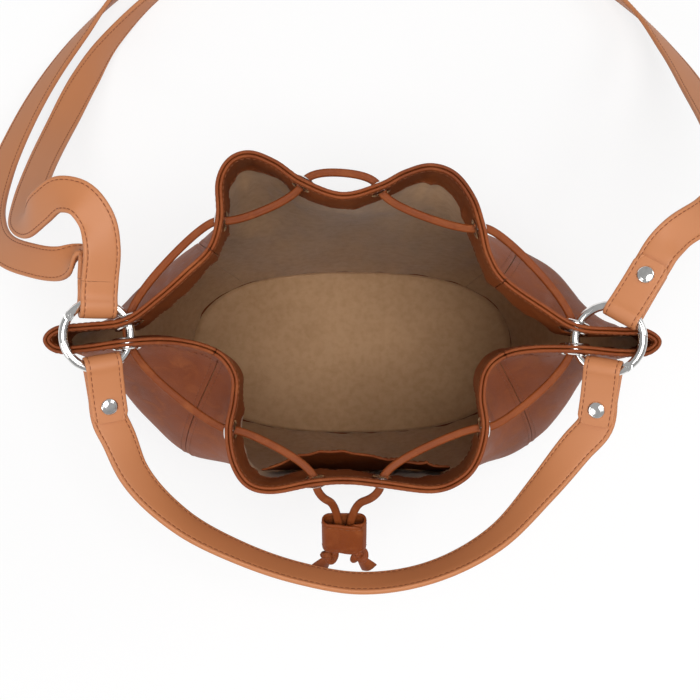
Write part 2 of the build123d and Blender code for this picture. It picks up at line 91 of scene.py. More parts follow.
def periodic(points):
    """Smooth closed curve through the points."""
    p = np.array(points, float)
    a, b, c, d = [np.roll(p, turn, 0)[:, None, :] for turn in (1, 0, -1, -2)]
    t = np.linspace(0, 1, COLUMNS_EACH, endpoint=False)[None, :, None]
    curve = 2 * b + (c - a) * t + (2 * a - 5 * b + 4 * c - d) * t**2 + (3 * b - a - 3 * c + d) * t**3
    return curve.reshape(-1, p.shape[1]) / 2


def shares(points):
    """Share of the whole way round at which each point lies."""
    steps = np.linalg.norm(np.roll(points, -1, 0) - points, axis=1)
    return np.concatenate([[0], np.cumsum(steps)[:-1]]) / steps.sum()


def oval(length, depth):
    """Superellipse with one point for each point of the rim, at the same shares of the way round."""
    angle = pi - 2 * pi * np.arange(720) / 720
    c, s = np.cos(angle), np.sin(angle)
    reach = (abs(c) ** CORNER_POWER + abs(s) ** CORNER_POWER) ** (-1 / CORNER_POWER)
    dense = np.stack([length / 2 * c * reach, depth / 2 * s * reach], 1)
    places = shares(dense)
    return np.array([dense[np.argmin(abs(places - share))] for share in shares(np.array(RIM, float))])


def smooth_step(low, high, value):
    """0 below low, 1 above high, and a smooth rise between them."""
    t = np.clip((value - low) / (high - low), 0, 1)
    return t * t * (3 - 2 * t)


class BagShape:
    """The bag's wall: where its glue line runs at each height, with the folds of the soft leather."""

    levels = (0.002, BELLY_HEIGHT, COLLAR_FOOT)
    soften = 0.014            # above and below the collar's foot, where the wall turns upright

    def __init__(self, sizes):
        self.fold_depth = sizes.fold_depth
        self.outlines = [
            periodic(oval(*BASE_SIZE)), periodic(oval(*BELLY_SIZE)), periodic(np.array(RIM) * MM),
        ]
        self.memory = {}

    def curve_weights(self, z):
        low, mid, high = self.levels
        return np.array([
            (z - mid) * (z - high) / ((low - mid) * (low - high)),
            (z - low) * (z - high) / ((mid - low) * (mid - high)),
            (z - low) * (z - mid) / ((high - low) * (high - mid)),
        ])

    def weights(self, z):
        """Shares of the base, belly and rim outlines at a height."""
        start, span = self.levels[2] - self.soften, 2 * self.soften
        if z <= start:
            return self.curve_weights(z)
        end = np.array([0.0, 0.0, 1.0])
        t = min((z - start) / span, 1)
        step = 0.0005
        slope = (self.curve_weights(start) - self.curve_weights(start - step)) / step * span
        first = self.curve_weights(start)
        return (2 * t**3 - 3 * t**2 + 1) * first + (t**3 - 2 * t**2 + t) * slope + (3 * t**2 - 2 * t**3) * end

    def section(self, z):
        """Points of the glue line and its outward normals at a height."""
        key = round(z, 6)
        if key not in self.memory:
            weights = self.weights(z)
            line = sum(w * outline for w, outline in zip(weights, self.outlines))
            run = np.roll(line, -1, 0) - np.roll(line, 1, 0)
            run /= np.linalg.norm(run, axis=1)[:, None]
            normal = np.stack([-run[:, 1], run[:, 0]], 1)
            self.memory[key] = (line + normal * self.folds(z)[:, None], normal)
        return self.memory[key]

    def folds(self, z):
        """How far the soft leather stands out or in, at every column."""
        broad = smooth_step(0.01, 0.13, z) * (1 - 0.8 * smooth_step(0.205, 0.238, z))
        tight = smooth_step(0.12, 0.185, z) * (1 - smooth_step(0.2, 0.236, z))
        depth = []
        for (x, y), (rim_x, rim_y) in zip(self.outlines[1], self.outlines[2]):
            swell = noise.noise(Vector((x / 0.038, y / 0.038, z / 0.11)))
            crease = abs(noise.noise(Vector((rim_x / 0.017 + 5, rim_y / 0.017, z / 0.075))))
            depth.append(broad * swell * 1.5 - tight * max(0.0, 0.32 - crease) * 1.7)
        return np.array(depth) * self.fold_depth

    def place(self, z, columns, offset):
        """Points at columns, which may lie between two, at offsets from the glue line."""
        line, normal = self.section(z)
        low = np.floor(columns).astype(int)
        part = (columns - low)[:, None]
        low, high = low % COLUMNS, (low + 1) % COLUMNS
        at = line[low] * (1 - part) + line[high] * part
        out = normal[low] * (1 - part) + normal[high] * part
        xy = at + out * np.broadcast_to(offset, columns.shape)[:, None]
        return np.column_stack([xy, np.full(len(columns), z)])


def station(point):
    return RIM.index(point) * COLUMNS_EACH


def side_columns(side):
    """Columns of one side, from seam to seam, closer together at the seams."""
    first, last = [station(point) for point in SEAMS[side]]
    if last < first:
        last += COLUMNS
    near = [0.1, 0.25, 0.5]
    return np.array([first + n for n in near] + list(range(first + 1, last)) + [last - n for n in near[::-1]])


# ------------------------------------------------------------------ places, in metres
# Courses of the straps: x, y, z and the direction of the strap's width.
HANDLE_COURSE = [
    (-0.1372, -0.0226, 0.2349, -0.9065, -0.1736, 0.3848),
    (-0.1355, -0.0411, 0.2306, -0.9065, -0.1736, 0.3848), (-0.132, -0.0497, 0.2275, -0.7954, -0.4207, 0.4359),
    (-0.124, -0.0709, 0.2218, -0.5169, -0.527, 0.6746), (-0.099, -0.0989, 0.2143, -0.2185, -0.4974, 0.8396),
    (-0.065, -0.1183, 0.2092, -0.0823, -0.4203, 0.9036), (-0.03, -0.1308, 0.2058, -0.0369, -0.3859, 0.9218),
    (0.004, -0.1366, 0.2042, 0, -0.3907, 0.9205), (0.043, -0.1308, 0.2058, 0.047, -0.3828, 0.9226),
    (0.082, -0.1096, 0.2115, 0.1953, -0.4775, 0.8567), (0.108, -0.0796, 0.2195, 0.4622, -0.5602, 0.6875),
    (0.126, -0.0555, 0.226, 0.6726, -0.6124, 0.4148), (0.1355, -0.0431, 0.2306, 0.9065, -0.1736, 0.3848),
    (0.1372, -0.0246, 0.2349, 0.9065, -0.1736, 0.3848),
]
STRAP_COURSE = [
    (0.1552, 0.0302, 0.2436, 0.7972, -0.5, 0.3384), (0.1647, 0.0466, 0.2454, 0.7972, -0.5, 0.3384),
    (0.1677, 0.0518, 0.246, 0.7972, -0.5, 0.3384), (0.176, 0.061, 0.245, -0.545, 0.8384, 0),
    (0.196, 0.074, 0.237, -0.6067, 0.795, 0), (0.214, 0.09, 0.217, -0.7749, 0.6321, 0),
    (0.227, 0.112, 0.184, -0.9333, 0.359, 0), (0.234, 0.142, 0.142, -0.9903, 0.1393, 0),
    (0.236, 0.176, 0.096, -0.9881, 0.1086, 0.1089), (0.232, 0.216, 0.05, -0.8853, 0.1699, 0.4329),
    (0.213, 0.26, 0.016, -0.4928, 0.0923, 0.8652), (0.176, 0.292, 0.01, -0.0498, 0.0257, 0.9984),
    (0.118, 0.309, 0.01, 0, 0, 1), (0.05, 0.315, 0.01, 0.0072, -0.0003, 1),
    (-0.02, 0.314, 0.011, 0.0349, 0.0013, 0.9994), (-0.05, 0.3114, 0.0135, 0.0347, 0.0013, 0.9994),
    (-0.092, 0.3114, 0.0135, -0.0234, -0.0005, 0.9997), (-0.114, 0.31, 0.012, -0.059, -0.0141, 0.9982),
    (-0.148, 0.298, 0.01, 0, 0, 1), (-0.18, 0.272, 0.012, 0.253, 0.0211, 0.9672),
    (-0.204, 0.236, 0.026, 0.7186, -0.0218, 0.6951), (-0.221, 0.196, 0.052, 0.8781, 0.0476, 0.4761),
    (-0.231, 0.154, 0.084, 0.9368, 0.1015, 0.335), (-0.235, 0.114, 0.116, 0.9635, 0.1823, 0.1961),
    (-0.23, 0.082, 0.146, 0.8664, 0.4845, 0.1207), (-0.214, 0.062, 0.174, 0.5125, 0.8535, 0.0946),
    (-0.19, 0.052, 0.2, 0.2221, 0.972, 0.0771), (-0.168, 0.048, 0.218, 0.1354, 0.9893, 0.0543),
    (-0.1433, 0.0523, 0.2337, -0.9205, 0, 0.3907), (-0.1429, 0.0376, 0.2347, -0.9205, 0, 0.3907),
]
RETURN_COURSE = [
    (-0.1378, 0.036, 0.2466, -0.9205, 0, 0.3907), (-0.1356, 0.0537, 0.2519, -0.9205, 0, 0.3907),
    (-0.138, 0.068, 0.254, -0.8087, -0.5882, 0), (-0.146, 0.079, 0.255, -0.5812, -0.8137, 0),
    (-0.159, 0.083, 0.249, 0.037, -0.9993, 0), (-0.173, 0.078, 0.236, 0.3473, -0.9377, 0),
    (-0.186, 0.073, 0.216, 0, -1, 0), (-0.197, 0.078, 0.19, -0.7913, -0.6114, 0),
    (-0.203, 0.095, 0.158, -0.9814, -0.192, 0), (-0.206, 0.124, 0.118, -0.9999, -0.0154, 0),
    (-0.204, 0.16, 0.076, -0.969, 0.2263, 0.0988), (-0.196, 0.2, 0.042, -0.626, 0.5793, 0.522),
    (-0.18, 0.24, 0.016, -0.0422, 0.4272, 0.9032), (-0.152, 0.272, 0.01, 0.046, 0.0414, 0.9981),
    (-0.12, 0.294, 0.011, -0.045, -0.0244, 0.9987), (-0.092, 0.3046, 0.0135, -0.0359, -0.0056, 0.9993),
    (-0.052, 0.3046, 0.0135, 0, 0, 1),
]
# Where each tab or strap leaves its ring: loop axis, way out, width and upper side.
HANDLE_LEFT = [
    (-0.1383, -0.01, 0.2379), (0.0894, -0.9698, -0.2271), (-0.9065, -0.1736, 0.3848),
    (0.4126, -0.1714, 0.8946),
]
HANDLE_RIGHT = [
    (0.1383, -0.012, 0.2379), (-0.0894, -0.9698, -0.2271), (0.9065, -0.1736, 0.3848),
    (-0.4126, -0.1714, 0.8946),
]
STRAP_RIGHT = [
    (0.1488, 0.0191, 0.2423), (0.4989, 0.8612, 0.0971), (0.7972, -0.5, 0.3384), (-0.34, 0.0914, 0.936),
]
STRAP_LEFT = [
    (-0.141, 0.0233, 0.239), (0.0501, 0.9917, 0.1181), (-0.9205, 0, 0.3907), (0.3875, -0.1283, 0.9129),
]
# Points that the drawstring's line runs by, from one knot to the other.
DRAWSTRING_POINTS = [
    (-0.0075, -0.1195, 0.1914), (-0.0075, -0.0904, 0.2158), (-0.0199, -0.0829, 0.23),
    (-0.0221, -0.0671, 0.23), (-0.0605, -0.0461, 0.23), (-0.0765, -0.0459, 0.23), (-0.1254, -0.006, 0.2268),
    (-0.129, 0.0219, 0.2268), (-0.0819, 0.0721, 0.23), (-0.0661, 0.0699, 0.23), (-0.0315, 0.0848, 0.23),
    (-0.0245, 0.0992, 0.23), (0.0124, 0.0966, 0.23), (0.0176, 0.0814, 0.23), (0.0633, 0.0648, 0.23),
    (0.0787, 0.0692, 0.23), (0.1265, 0.0191, 0.2268), (0.1236, -0.009, 0.2268), (0.081, -0.0455, 0.23),
    (0.065, -0.0445, 0.23), (0.0169, -0.067, 0.23), (0.0152, -0.083, 0.23), (-0.0025, -0.0904, 0.2158),
    (-0.0025, -0.1195, 0.1914),
]
# Eyelets on the glue line: place and outward direction.
CORD_EYELETS = [
    (-0.021, -0.075, 0.23, 0.133, -0.9911, 0), (-0.0685, -0.046, 0.23, -0.9999, 0.0147, 0),
    (-0.074, 0.071, 0.23, -0.991, 0.1339, 0), (-0.028, 0.092, 0.23, 0.4375, 0.8992, 0),
    (0.015, 0.089, 0.23, -0.3243, 0.9459, 0), (0.071, 0.067, 0.23, 0.9603, 0.2788, 0),
    (0.073, -0.045, 0.23, 0.9984, -0.057, 0), (0.016, -0.075, 0.23, -0.1058, -0.9944, 0),
]
RING_EYELETS = [
    (-0.126, 0.002, 0.23, 0.0797, -0.9968, 0), (-0.126, 0.0145, 0.23, -0.3714, 0.9285, 0),
    (0.124, 0.0115, 0.23, 0.3091, 0.951, 0), (0.124, -0.001, 0.23, -0.0555, -0.9985, 0),
]
SLEEVE_MIDDLE = (-0.005, -0.108, 0.201)
SLEEVE_WAY = (0.0, 0.766, 0.6428)
SLEEVE_LENGTH = 0.024
SLEEVE_LEATHER = 0.0016
CAMERA_PLACE = (-0.0016, -0.01, 0.84)
CAMERA_AIM = (-0.0016, -0.0016, 0.24)
CAMERA_FIELD = 35.6
WORLD_LIGHT = 0.38

# ------------------------------------------------------------------ meshes
def loft(name, rings, closed=False):
    """Closed mesh through rings of points, with UVs in metres along it and round it."""
    count, loop = rings.shape[:2]
    faces, where = [], []
    for c in range(count if closed else count - 1):
        for k in range(loop):
            n, m = (c + 1) % count, (k + 1) % loop
            faces.append((c * loop + k, c * loop + m, n * loop + m, n * loop + k))
            where.append(((c, k), (c, k + 1), (c + 1, k + 1), (c + 1, k)))
    if not closed:
        for c, turned in ((0, 1), (count - 1, -1)):
            for k in range(loop // 2 - 1):
                corners = [(c, k), (c, k + 1), (c, loop - 2 - k), (c, loop - 1 - k)][::turned]
                faces.append(tuple(c0 * loop + k0 for c0, k0 in corners))
                where.append(tuple(corners))
    along = np.linalg.norm(np.roll(rings, -1, 0) - rings, axis=2).mean(1)
    along = np.concatenate([[0], np.cumsum(along)])
    around = np.linalg.norm(np.roll(rings, -1, 1) - rings, axis=2)
    around = np.concatenate([np.zeros((count, 1)), np.cumsum(around, axis=1)], axis=1)
    mesh = bpy.data.meshes.new(name)
    mesh.from_pydata([tuple(v) for v in rings.reshape(-1, 3)], [], faces)
    uv = [(along[c], around[c % count][k]) for corners in where for c, k in corners]
    mesh.uv_layers.new(name="UVMap").data.foreach_set("uv", np.array(uv, np.float32).ravel())
    return finish_mesh(name, mesh)


def finish_mesh(name, mesh, sharp=50):
    """Object of a mesh with outward normals, smooth but for its sharp edges."""
    made = bmesh.new()
    made.from_mesh(mesh)
    bmesh.ops.recalc_face_normals(made, faces=made.faces)
    made.to_mesh(mesh)
    made.free()
    mesh.polygons.foreach_set("use_smooth", [True] * len(mesh.polygons))
    mesh.set_sharp_from_angle(angle=radians(sharp))
    made = bpy.data.objects.new(name, mesh)
    bpy.context.scene.collection.objects.link(made)
    return made


def joined(name, pieces):
    """One object from several."""
    mesh = bpy.data.meshes.new(name)
    whole = bmesh.new()
    for piece in pieces:
        whole.from_mesh(piece.data)
    whole.to_mesh(mesh)
    whole.free()
    for piece in pieces:
        bpy.data.objects.remove(piece)
    mesh.polygons.foreach_set("use_smooth", [True] * len(mesh.polygons))
    made = bpy.data.objects.new(name, mesh)
    bpy.context.scene.collection.objects.link(made)
    return made


def fit(piece, material, slot, body, *replaced, bend=None):
    """Gives a finished piece its material and body, and hides the CAD nodes that it stands for. The slot is
    not used.
    A piece given a bend gets no body: its transform is baked into its mesh."""
    piece.data.materials.clear()
    piece.data.materials.append(material)
    if replaced:
        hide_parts(*replaced)
    if bend is None:
        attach(piece, body)
    else:
        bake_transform(piece)
    return piece


def wall_piece(name, shape, columns, low, high, outside, inside, rows, extra=None):
    """Layer of one side, with a rounded top edge and ends that turn in to the seams."""
    thick = outside - inside
    turn = 0.0022
    gap = np.minimum(columns - columns[0], columns[-1] - columns) * 0.0022 + 0.0004
    round_off = np.sqrt(1 - (1 - np.clip(gap / turn, 0, 1)) ** 2)
    heights = list(np.linspace(low, high - thick / 2, rows))
    profile = [(z, outside) for z in heights]
    arc = [radians(a) for a in (36, 72, 108, 144)]
    middle = (outside + inside) / 2
    profile += [(high - thick / 2 + thick / 2 * sin(a), middle + thick / 2 * cos(a)) for a in arc]
    profile += [(z, inside) for z in heights[::-1]]
    lines = []
    for z, offset in profile:
        shift = middle + (offset - middle) * (0.35 + 0.65 * round_off)
        if extra is not None:
            shift = shift + extra(z, columns)
        lines.append(shape.place(z, columns, shift))
    return loft(name, np.stack(lines, 1))


def disc(name, shape, profile, ripple=None):
    """Flat layer from (inset from the base line, height, share of the outline) steps."""
    rings = []
    for inset, z, share in profile:
        line, normal = shape.section(shape.levels[0])
        ring = (line - normal * inset)[::4] * share
        ring = np.column_stack([ring, np.full(len(ring), z)])
        if ripple is not None:
            ring[:, 2] += [ripple(x, y) * (1 - share**6) for x, y, _ in ring]
        rings.append(ring)
    rings = np.array(rings)
    piece = loft(name, rings)
    uv = piece.data.uv_layers["UVMap"].data
    for corner in piece.data.loops:
        uv[corner.index].uv = piece.data.vertices[corner.vertex_index].co.xy
    return piece


# ------------------------------------------------------------------ courses of straps and cords
def smooth_course(rows, step=0.0025):
    """Points and width directions along a smooth line through (x, y, z, width direction) rows."""
    rows = np.array(rows, float)
    for i in range(1, len(rows)):
        if rows[i, 3:] @ rows[i - 1, 3:] < 0:
            rows[i, 3:] *= -1
    gaps = np.linalg.norm(np.diff(rows[:, :3], axis=0), axis=1)
    slopes = np.diff(rows, axis=0) / gaps[:, None]
    tangents = np.empty_like(rows)
    tangents[0], tangents[-1] = slopes[0], slopes[-1]
    before, after = gaps[:-1, None], gaps[1:, None]
    tangents[1:-1] = (slopes[:-1] * after + slopes[1:] * before) / (before + after)
    made = []
    for i, gap in enumerate(gaps):
        t = np.linspace(0, 1, max(2, ceil(gap / step)), endpoint=False)[:, None]
        made.append((2 * t**3 - 3 * t**2 + 1) * rows[i] + (t**3 - 2 * t**2 + t) * gap * tangents[i]
                    + (3 * t**2 - 2 * t**3) * rows[i + 1] + (t**3 - t**2) * gap * tangents[i + 1])
    made.append(rows[-1:])
    course = np.concatenate(made)
    course[:, 2] = np.maximum(course[:, 2], STRAP_FLOOR)
    return course


def unit(vectors):
    return vectors / np.linalg.norm(vectors, axis=-1, keepdims=True)


def course_frames(course):
    """Points, width directions and upper directions along a course."""
    points = course[:, :3]
    tangent = unit(np.gradient(points, axis=0))
    across = course[:, 3:]
    across = unit(across - tangent * (across * tangent).sum(1)[:, None])
    return points, across, np.cross(tangent, across)


def both_sides(upper):
    """Closed loop from the upper half of a section, left to right."""
    return upper + [(w, -u) for w, u in upper[::-1]]


# Shares of a strap's half width and half thickness, with the channel that the stitches lie in.
STRAP_SECTION = [
    (-1.0, 0.3), (-0.985, 0.68), (-0.95, 0.93), (-0.88, 1.02), (-0.82, 0.98), (-0.78, 0.85), (-0.74, 0.98),
    (-0.66, 1.05), (-0.35, 1.08), (0.0, 1.1), (0.35, 1.08), (0.66, 1.05), (0.74, 0.98), (0.78, 0.85),
    (0.82, 0.98), (0.88, 1.02), (0.95, 0.93), (0.985, 0.68), (1.0, 0.3),
]
STITCH_SHARE = 0.78
STRAP_TONE = 0.78         # tone of the straps' own leather beside the walls'
STRAP_FLOOR = 0.0101      # middle of a strap that stands on its edge on the floor
TAB_GAP = 0.0003          # between the strap and each ply of its tab
TAB_LOOP = 0.0053         # radius of a tab's turn round the wire
TAB_REACH = 0.032         # ring to the end of a tab
TAB_BEND = (0.002, 0.012)     # from the ring, the stretch given to fit as a tab's bend
WRAP_LOOP = 0.006
WRAP_BEND = (0.0, 0.0135)
RIVET_PLACE = 0.023       # ring to the rivet


def strap(name, rows, width, thickness, ends=(True, True)):
    """Flat strap along a course, its free ends rounded off."""
    points, across, up = course_frames(smooth_course(rows))
    run = np.concatenate([[0], np.cumsum(np.linalg.norm(np.diff(points, axis=0), axis=1))])
    narrow = np.ones(len(points))
    for gap, free in ((run, ends[0]), (run[-1] - run, ends[1])):
        if free:
            narrow *= 1 - 0.25 * (1 - np.clip(gap / 0.005, 0, 1)) ** 2
    section = np.array(both_sides(STRAP_SECTION))
    half_width = (width / 2 * narrow)[:, None, None]
    rings = (points[:, None, :] + across[:, None, :] * section[None, :, :1] * half_width
             + up[:, None, :] * section[None, :, 1:] * thickness / 2)
    return loft(name, rings)


def strap_seams(rows, width, thickness, trim=0.004, faces=(1, -1)):
    """Lines of stitching along both edges of a strap, on the faces asked for."""
    points, across, up = course_frames(smooth_course(rows))
    cut = max(1, int(trim / 0.0025))
    lines = []
    for face in faces:
        for edge in (-1, 1):
            line = points + across * edge * width / 2 * STITCH_SHARE + up * face * thickness / 2 * 0.96
            lines.append(line[cut:-cut])
    return lines


def lathe(name, profile, centre, axis, side):
    """Turned piece: (radius, height) steps along an axis, closed at both ends."""
    axis, side = unit(np.array(axis, float)), np.array(side, float)
    side = unit(side - axis * (side @ axis))
    third = np.cross(axis, side)
    angle = 2 * pi * np.arange(28) / 28
    spokes = np.cos(angle)[:, None] * side + np.sin(angle)[:, None] * third
    rings = [np.array(centre) + spokes * radius + axis * height for radius, height in profile]
    return loft(name, np.array(rings))


def eyelet(name, place, bore, depth):
    """Barrel with a rolled flange on each side of the wall; depth is (inner, outer) flange level."""
    centre, out = np.array(place[:3]), np.array(place[3:])
    level = np.cross(out, (0, 0, 1))
    inner, outer = depth
    r, rim = bore / 2, bore / 2 + 0.0022
    half = [(r + 0.0002, outer - 0.0012), (r, outer + 0.0003), (r + 0.0003, outer + 0.0008),
            (r + 0.0009, outer + 0.001), (r + 0.0015, outer + 0.0008), (rim, outer + 0.0003),
            (rim - 0.0001, outer), (r + 0.0007, outer - 0.0002)]
    middle = (inner + outer) / 2
    profile = half + [(radius, 2 * middle - height) for radius, height in half[::-1]]
    rings = []
    for angle in 2 * pi * np.arange(28) / 28:
        spoke = level * cos(angle) + np.array((0, 0, 1)) * sin(angle)
        rings.append([centre + spoke * radius + out * height for radius, height in profile])
    return loft(name, np.array(rings), closed=True)


def copy_of(node, bevel):
    """Copy of a CAD node with its edges eased."""
    made = bmesh.new()
    made.from_mesh(NODES[node].data)
    bmesh.ops.remove_doubles(made, verts=made.verts, dist=1e-6)
    bmesh.ops.dissolve_limit(made, angle_limit=radians(2), verts=made.verts, edges=made.edges)
    mesh = bpy.data.meshes.new(node + "_eased")
    made.to_mesh(mesh)
    made.free()
    piece = finish_mesh(node + "_eased", mesh, sharp=30)
    ease = piece.modifiers.new("ease", "BEVEL")
    ease.width, ease.segments, ease.limit_method = bevel, 3, "ANGLE"
    return apply_modifiers(piece)


def apply_modifiers(piece):
    """Turns the piece's modifiers into plain mesh."""
    graph = bpy.context.evaluated_depsgraph_get()
    mesh = bpy.data.meshes.new_from_object(piece.evaluated_get(graph))
    piece.modifiers.clear()
    piece.data = mesh
    return piece


# ------------------------------------------------------------------ shader node groups
def node(tree, kind, inputs=None, **settings):
    """Shader node with its settings, and each input set to a value or linked to a socket."""
    made = tree.nodes.new(kind)
    for key, value in settings.items():
        setattr(made, key, value)
    for key, value in (inputs or {}).items():
        if isinstance(value, bpy.types.NodeSocket):
            tree.links.new(value, made.inputs[key])
        else:
            made.inputs[key].default_value = value
    return made


def group(name, inputs, outputs):
    """Empty node group with named inputs and outputs."""
    tree = bpy.data.node_groups.new(name, "ShaderNodeTree")
    kinds = {"Color": "NodeSocketColor", "Float": "NodeSocketFloat", "Vector": "NodeSocketVector"}
    for title, kind, default in inputs:
        socket = tree.interface.new_socket(title, in_out="INPUT", socket_type=kinds[kind])
        socket.default_value = default
    for title, kind in outputs:
        tree.interface.new_socket(title, in_out="OUTPUT", socket_type=kinds[kind])
    return tree, node(tree, "NodeGroupInput").outputs, node(tree, "NodeGroupOutput").inputs


def ramp(tree, value, low, high, to_low=0.0, to_high=1.0):
    """Value spread from one range to another, held at its ends."""
    return node(tree, "ShaderNodeMapRange", {
        "Value": value, "From Min": low, "From Max": high, "To Min": to_low, "To Max": to_high,
    }).outputs[0]


def blend_colours(tree, factor, first, second, kind="MIX"):
    """Mix of two colours."""
    made = node(tree, "ShaderNodeMix", {0: factor, 6: first, 7: second}, data_type="RGBA", blend_type=kind)
    return made.outputs[2]


def cloudy(tree, place, scale, detail, **more):
    """Noise at a place."""
    inputs = {"Vector": place, "Scale": scale, "Detail": detail, **more}
    return node(tree, "ShaderNodeTexNoise", inputs).outputs[0]


def arithmetic(tree, operation, first, second):
    return node(tree, "ShaderNodeMath", {0: first, 1: second}, operation=operation).outputs[0]


def leather_grain():
    """Pebbled grain of aniline leather, with painted shade in the grain's furrows and in random cloudy
    patches, and fine random streaks of painted highlight.
    """
    tree, given, result = group("leather_grain", [
        ("Colour", "Color", (0.4, 0.15, 0.05, 1)), ("Shade", "Color", (0.2, 0.06, 0.02, 1)),
        ("Light", "Color", (0.6, 0.3, 0.14, 1)), ("Cell", "Float", 0.0013), ("Relief", "Float", 0.3),
    ], [("Color", "Color"), ("Roughness", "Float"), ("Normal", "Vector")])
    place = node(tree, "ShaderNodeTexCoord").outputs["Object"]
    cloud = cloudy(tree, place, 16.0, 4.0, Roughness=0.6)
    marks = cloudy(tree, place, 85.0, 5.0, Distortion=0.8)
    density = arithmetic(tree, "DIVIDE", 1.0, given["Cell"])
    cells = node(tree, "ShaderNodeTexVoronoi", {"Vector": place, "Scale": density, "Randomness": 1.0},
                 feature="DISTANCE_TO_EDGE")
    pores = cloudy(tree, place, 1900.0, 2.0)
    # Random cloudy patches mixed towards the Shade colour, a shaded copy of the hide: painted shade.
    patchy_shade = blend_colours(tree, ramp(tree, cloud, 0.36, 0.68, 0.0, 0.6), given["Colour"], given["Shade"])
    # Fine random streaks mixed towards the Light colour, a lit copy of the hide: painted highlight.
    highlit = blend_colours(tree, ramp(tree, marks, 0.5, 0.74, 0.0, 0.4), patchy_shade, given["Light"])
    furrow = ramp(tree, cells.outputs["Distance"], 0.0, 0.14)
    # Painted shade in the grain's furrows, from the Shade colour.
    colour = blend_colours(tree, ramp(tree, furrow, 0.0, 1.0, 0.16, 0.0), highlit, given["Shade"])
    height = arithmetic(tree, "ADD", furrow, arithmetic(tree, "MULTIPLY", pores, 0.45))
    height = arithmetic(tree, "ADD", height, arithmetic(tree, "MULTIPLY", marks, 1.4))
    bump = node(tree, "ShaderNodeBump", {"Strength": given["Relief"], "Distance": 0.00016, "Height": height})
    tree.links.new(colour, result["Color"])
    tree.links.new(ramp(tree, marks, 0.3, 0.7, 0.50, 0.66), result["Roughness"])
    tree.links.new(bump.outputs[0], result["Normal"])
    return tree


def cloth_weave():
    """Plain weave that follows the piece's UV map, with painted shade between its threads, slubs and soft
    tonal drift.
    """
    tree, given, result = group("cloth_weave", [
        ("Colour", "Color", (0.3, 0.2, 0.1, 1)), ("Shade", "Color", (0.2, 0.12, 0.06, 1)),
        ("Pitch", "Float", 0.0006), ("Relief", "Float", 0.3),
    ], [("Color", "Color"), ("Roughness", "Float"), ("Normal", "Vector")])
    uv = node(tree, "ShaderNodeUVMap", uv_map="UVMap").outputs[0]
    place = node(tree, "ShaderNodeTexCoord").outputs["Object"]
    split = node(tree, "ShaderNodeSeparateXYZ", {0: uv}).outputs
    turns = arithmetic(tree, "DIVIDE", pi, given["Pitch"])
    threads = []
    for axis in (0, 1):
        wave = arithmetic(tree, "SINE", arithmetic(tree, "MULTIPLY", split[axis], turns), 0.0)
        threads.append(arithmetic(tree, "ABSOLUTE", wave, 0.0))
    pick = node(tree, "ShaderNodeTexChecker", {
        "Vector": uv, "Scale": arithmetic(tree, "DIVIDE", 1.0, given["Pitch"]),
    }).outputs["Fac"]
    over = node(tree, "ShaderNodeMix", {0: pick, 2: threads[0], 3: threads[1]}).outputs[0]
    slub = cloudy(tree, place, 220.0, 3.0)
    drift = cloudy(tree, place, 13.0, 3.0)
    tone = arithmetic(tree, "ADD", ramp(tree, drift, 0.35, 0.7, 0.0, 0.35),
                      ramp(tree, over, 0.0, 1.0, 0.28, 0.0))
    tone = arithmetic(tree, "ADD", tone, ramp(tree, slub, 0.4, 0.7, 0.0, 0.22))
    # The Shade colour is a shaded copy of the lining: painted shade between the threads, and darker in random
    # drift and slubs.
    colour = blend_colours(tree, tone, given["Colour"], given["Shade"])
    height = arithmetic(tree, "ADD", over, arithmetic(tree, "MULTIPLY", slub, 0.8))
    bump = node(tree, "ShaderNodeBump", {"Strength": given["Relief"], "Distance": 0.00015, "Height": height})
    tree.links.new(colour, result["Color"])
    tree.links.new(ramp(tree, slub, 0.3, 0.7, 0.72, 0.88), result["Roughness"])
    tree.links.new(bump.outputs[0], result["Normal"])
    return tree


def handling_marks():
    """Hairline scratches and a smudged shine, for plated metal and hard board."""
    tree, given, result = group("handling_marks", [
        ("Colour", "Color", (0.8, 0.8, 0.8, 1)), ("Dull", "Color", (0.5, 0.5, 0.5, 1)),
        ("Smooth", "Float", 0.08), ("Smudged", "Float", 0.25), ("Relief", "Float", 0.1),
    ], [("Color", "Color"), ("Roughness", "Float"), ("Normal", "Vector")])
    place = node(tree, "ShaderNodeTexCoord").outputs["Object"]
    stretched = node(tree, "ShaderNodeMapping", {"Vector": place, "Scale": (1.0, 9.0, 3.0)}).outputs[0]
    hair = cloudy(tree, stretched, 420.0, 4.0)
    worn = ramp(tree, cloudy(tree, place, 130.0, 3.0), 0.42, 0.72)
    tree.links.new(blend_colours(tree, worn, given["Colour"], given["Dull"]), result["Color"])
    tree.links.new(ramp(tree, worn, 0.0, 1.0, given["Smooth"], given["Smudged"]), result["Roughness"])
    bump = node(tree, "ShaderNodeBump", {"Strength": given["Relief"], "Distance": 0.00005, "Height": hair})
    tree.links.new(bump.outputs[0], result["Normal"])
    return tree


def surface(name, tree, values, **shader):
    """Material whose colour, roughness and normal come from a node group."""
    material = bpy.data.materials.new(name)
    material.use_nodes = True
    nodes = material.node_tree
    principled = nodes.nodes["Principled BSDF"]
    made = node(nodes, "ShaderNodeGroup", node_tree=tree)
    for key, value in values.items():
        made.inputs[key].default_value = value
    for out, into in (("Color", "Base Color"), ("Roughness", "Roughness"), ("Normal", "Normal")):
        nodes.links.new(made.outputs[out], principled.inputs[into])
    for key, value in shader.items():
        principled.inputs[key.replace("_", " ")].default_value = value
    return material


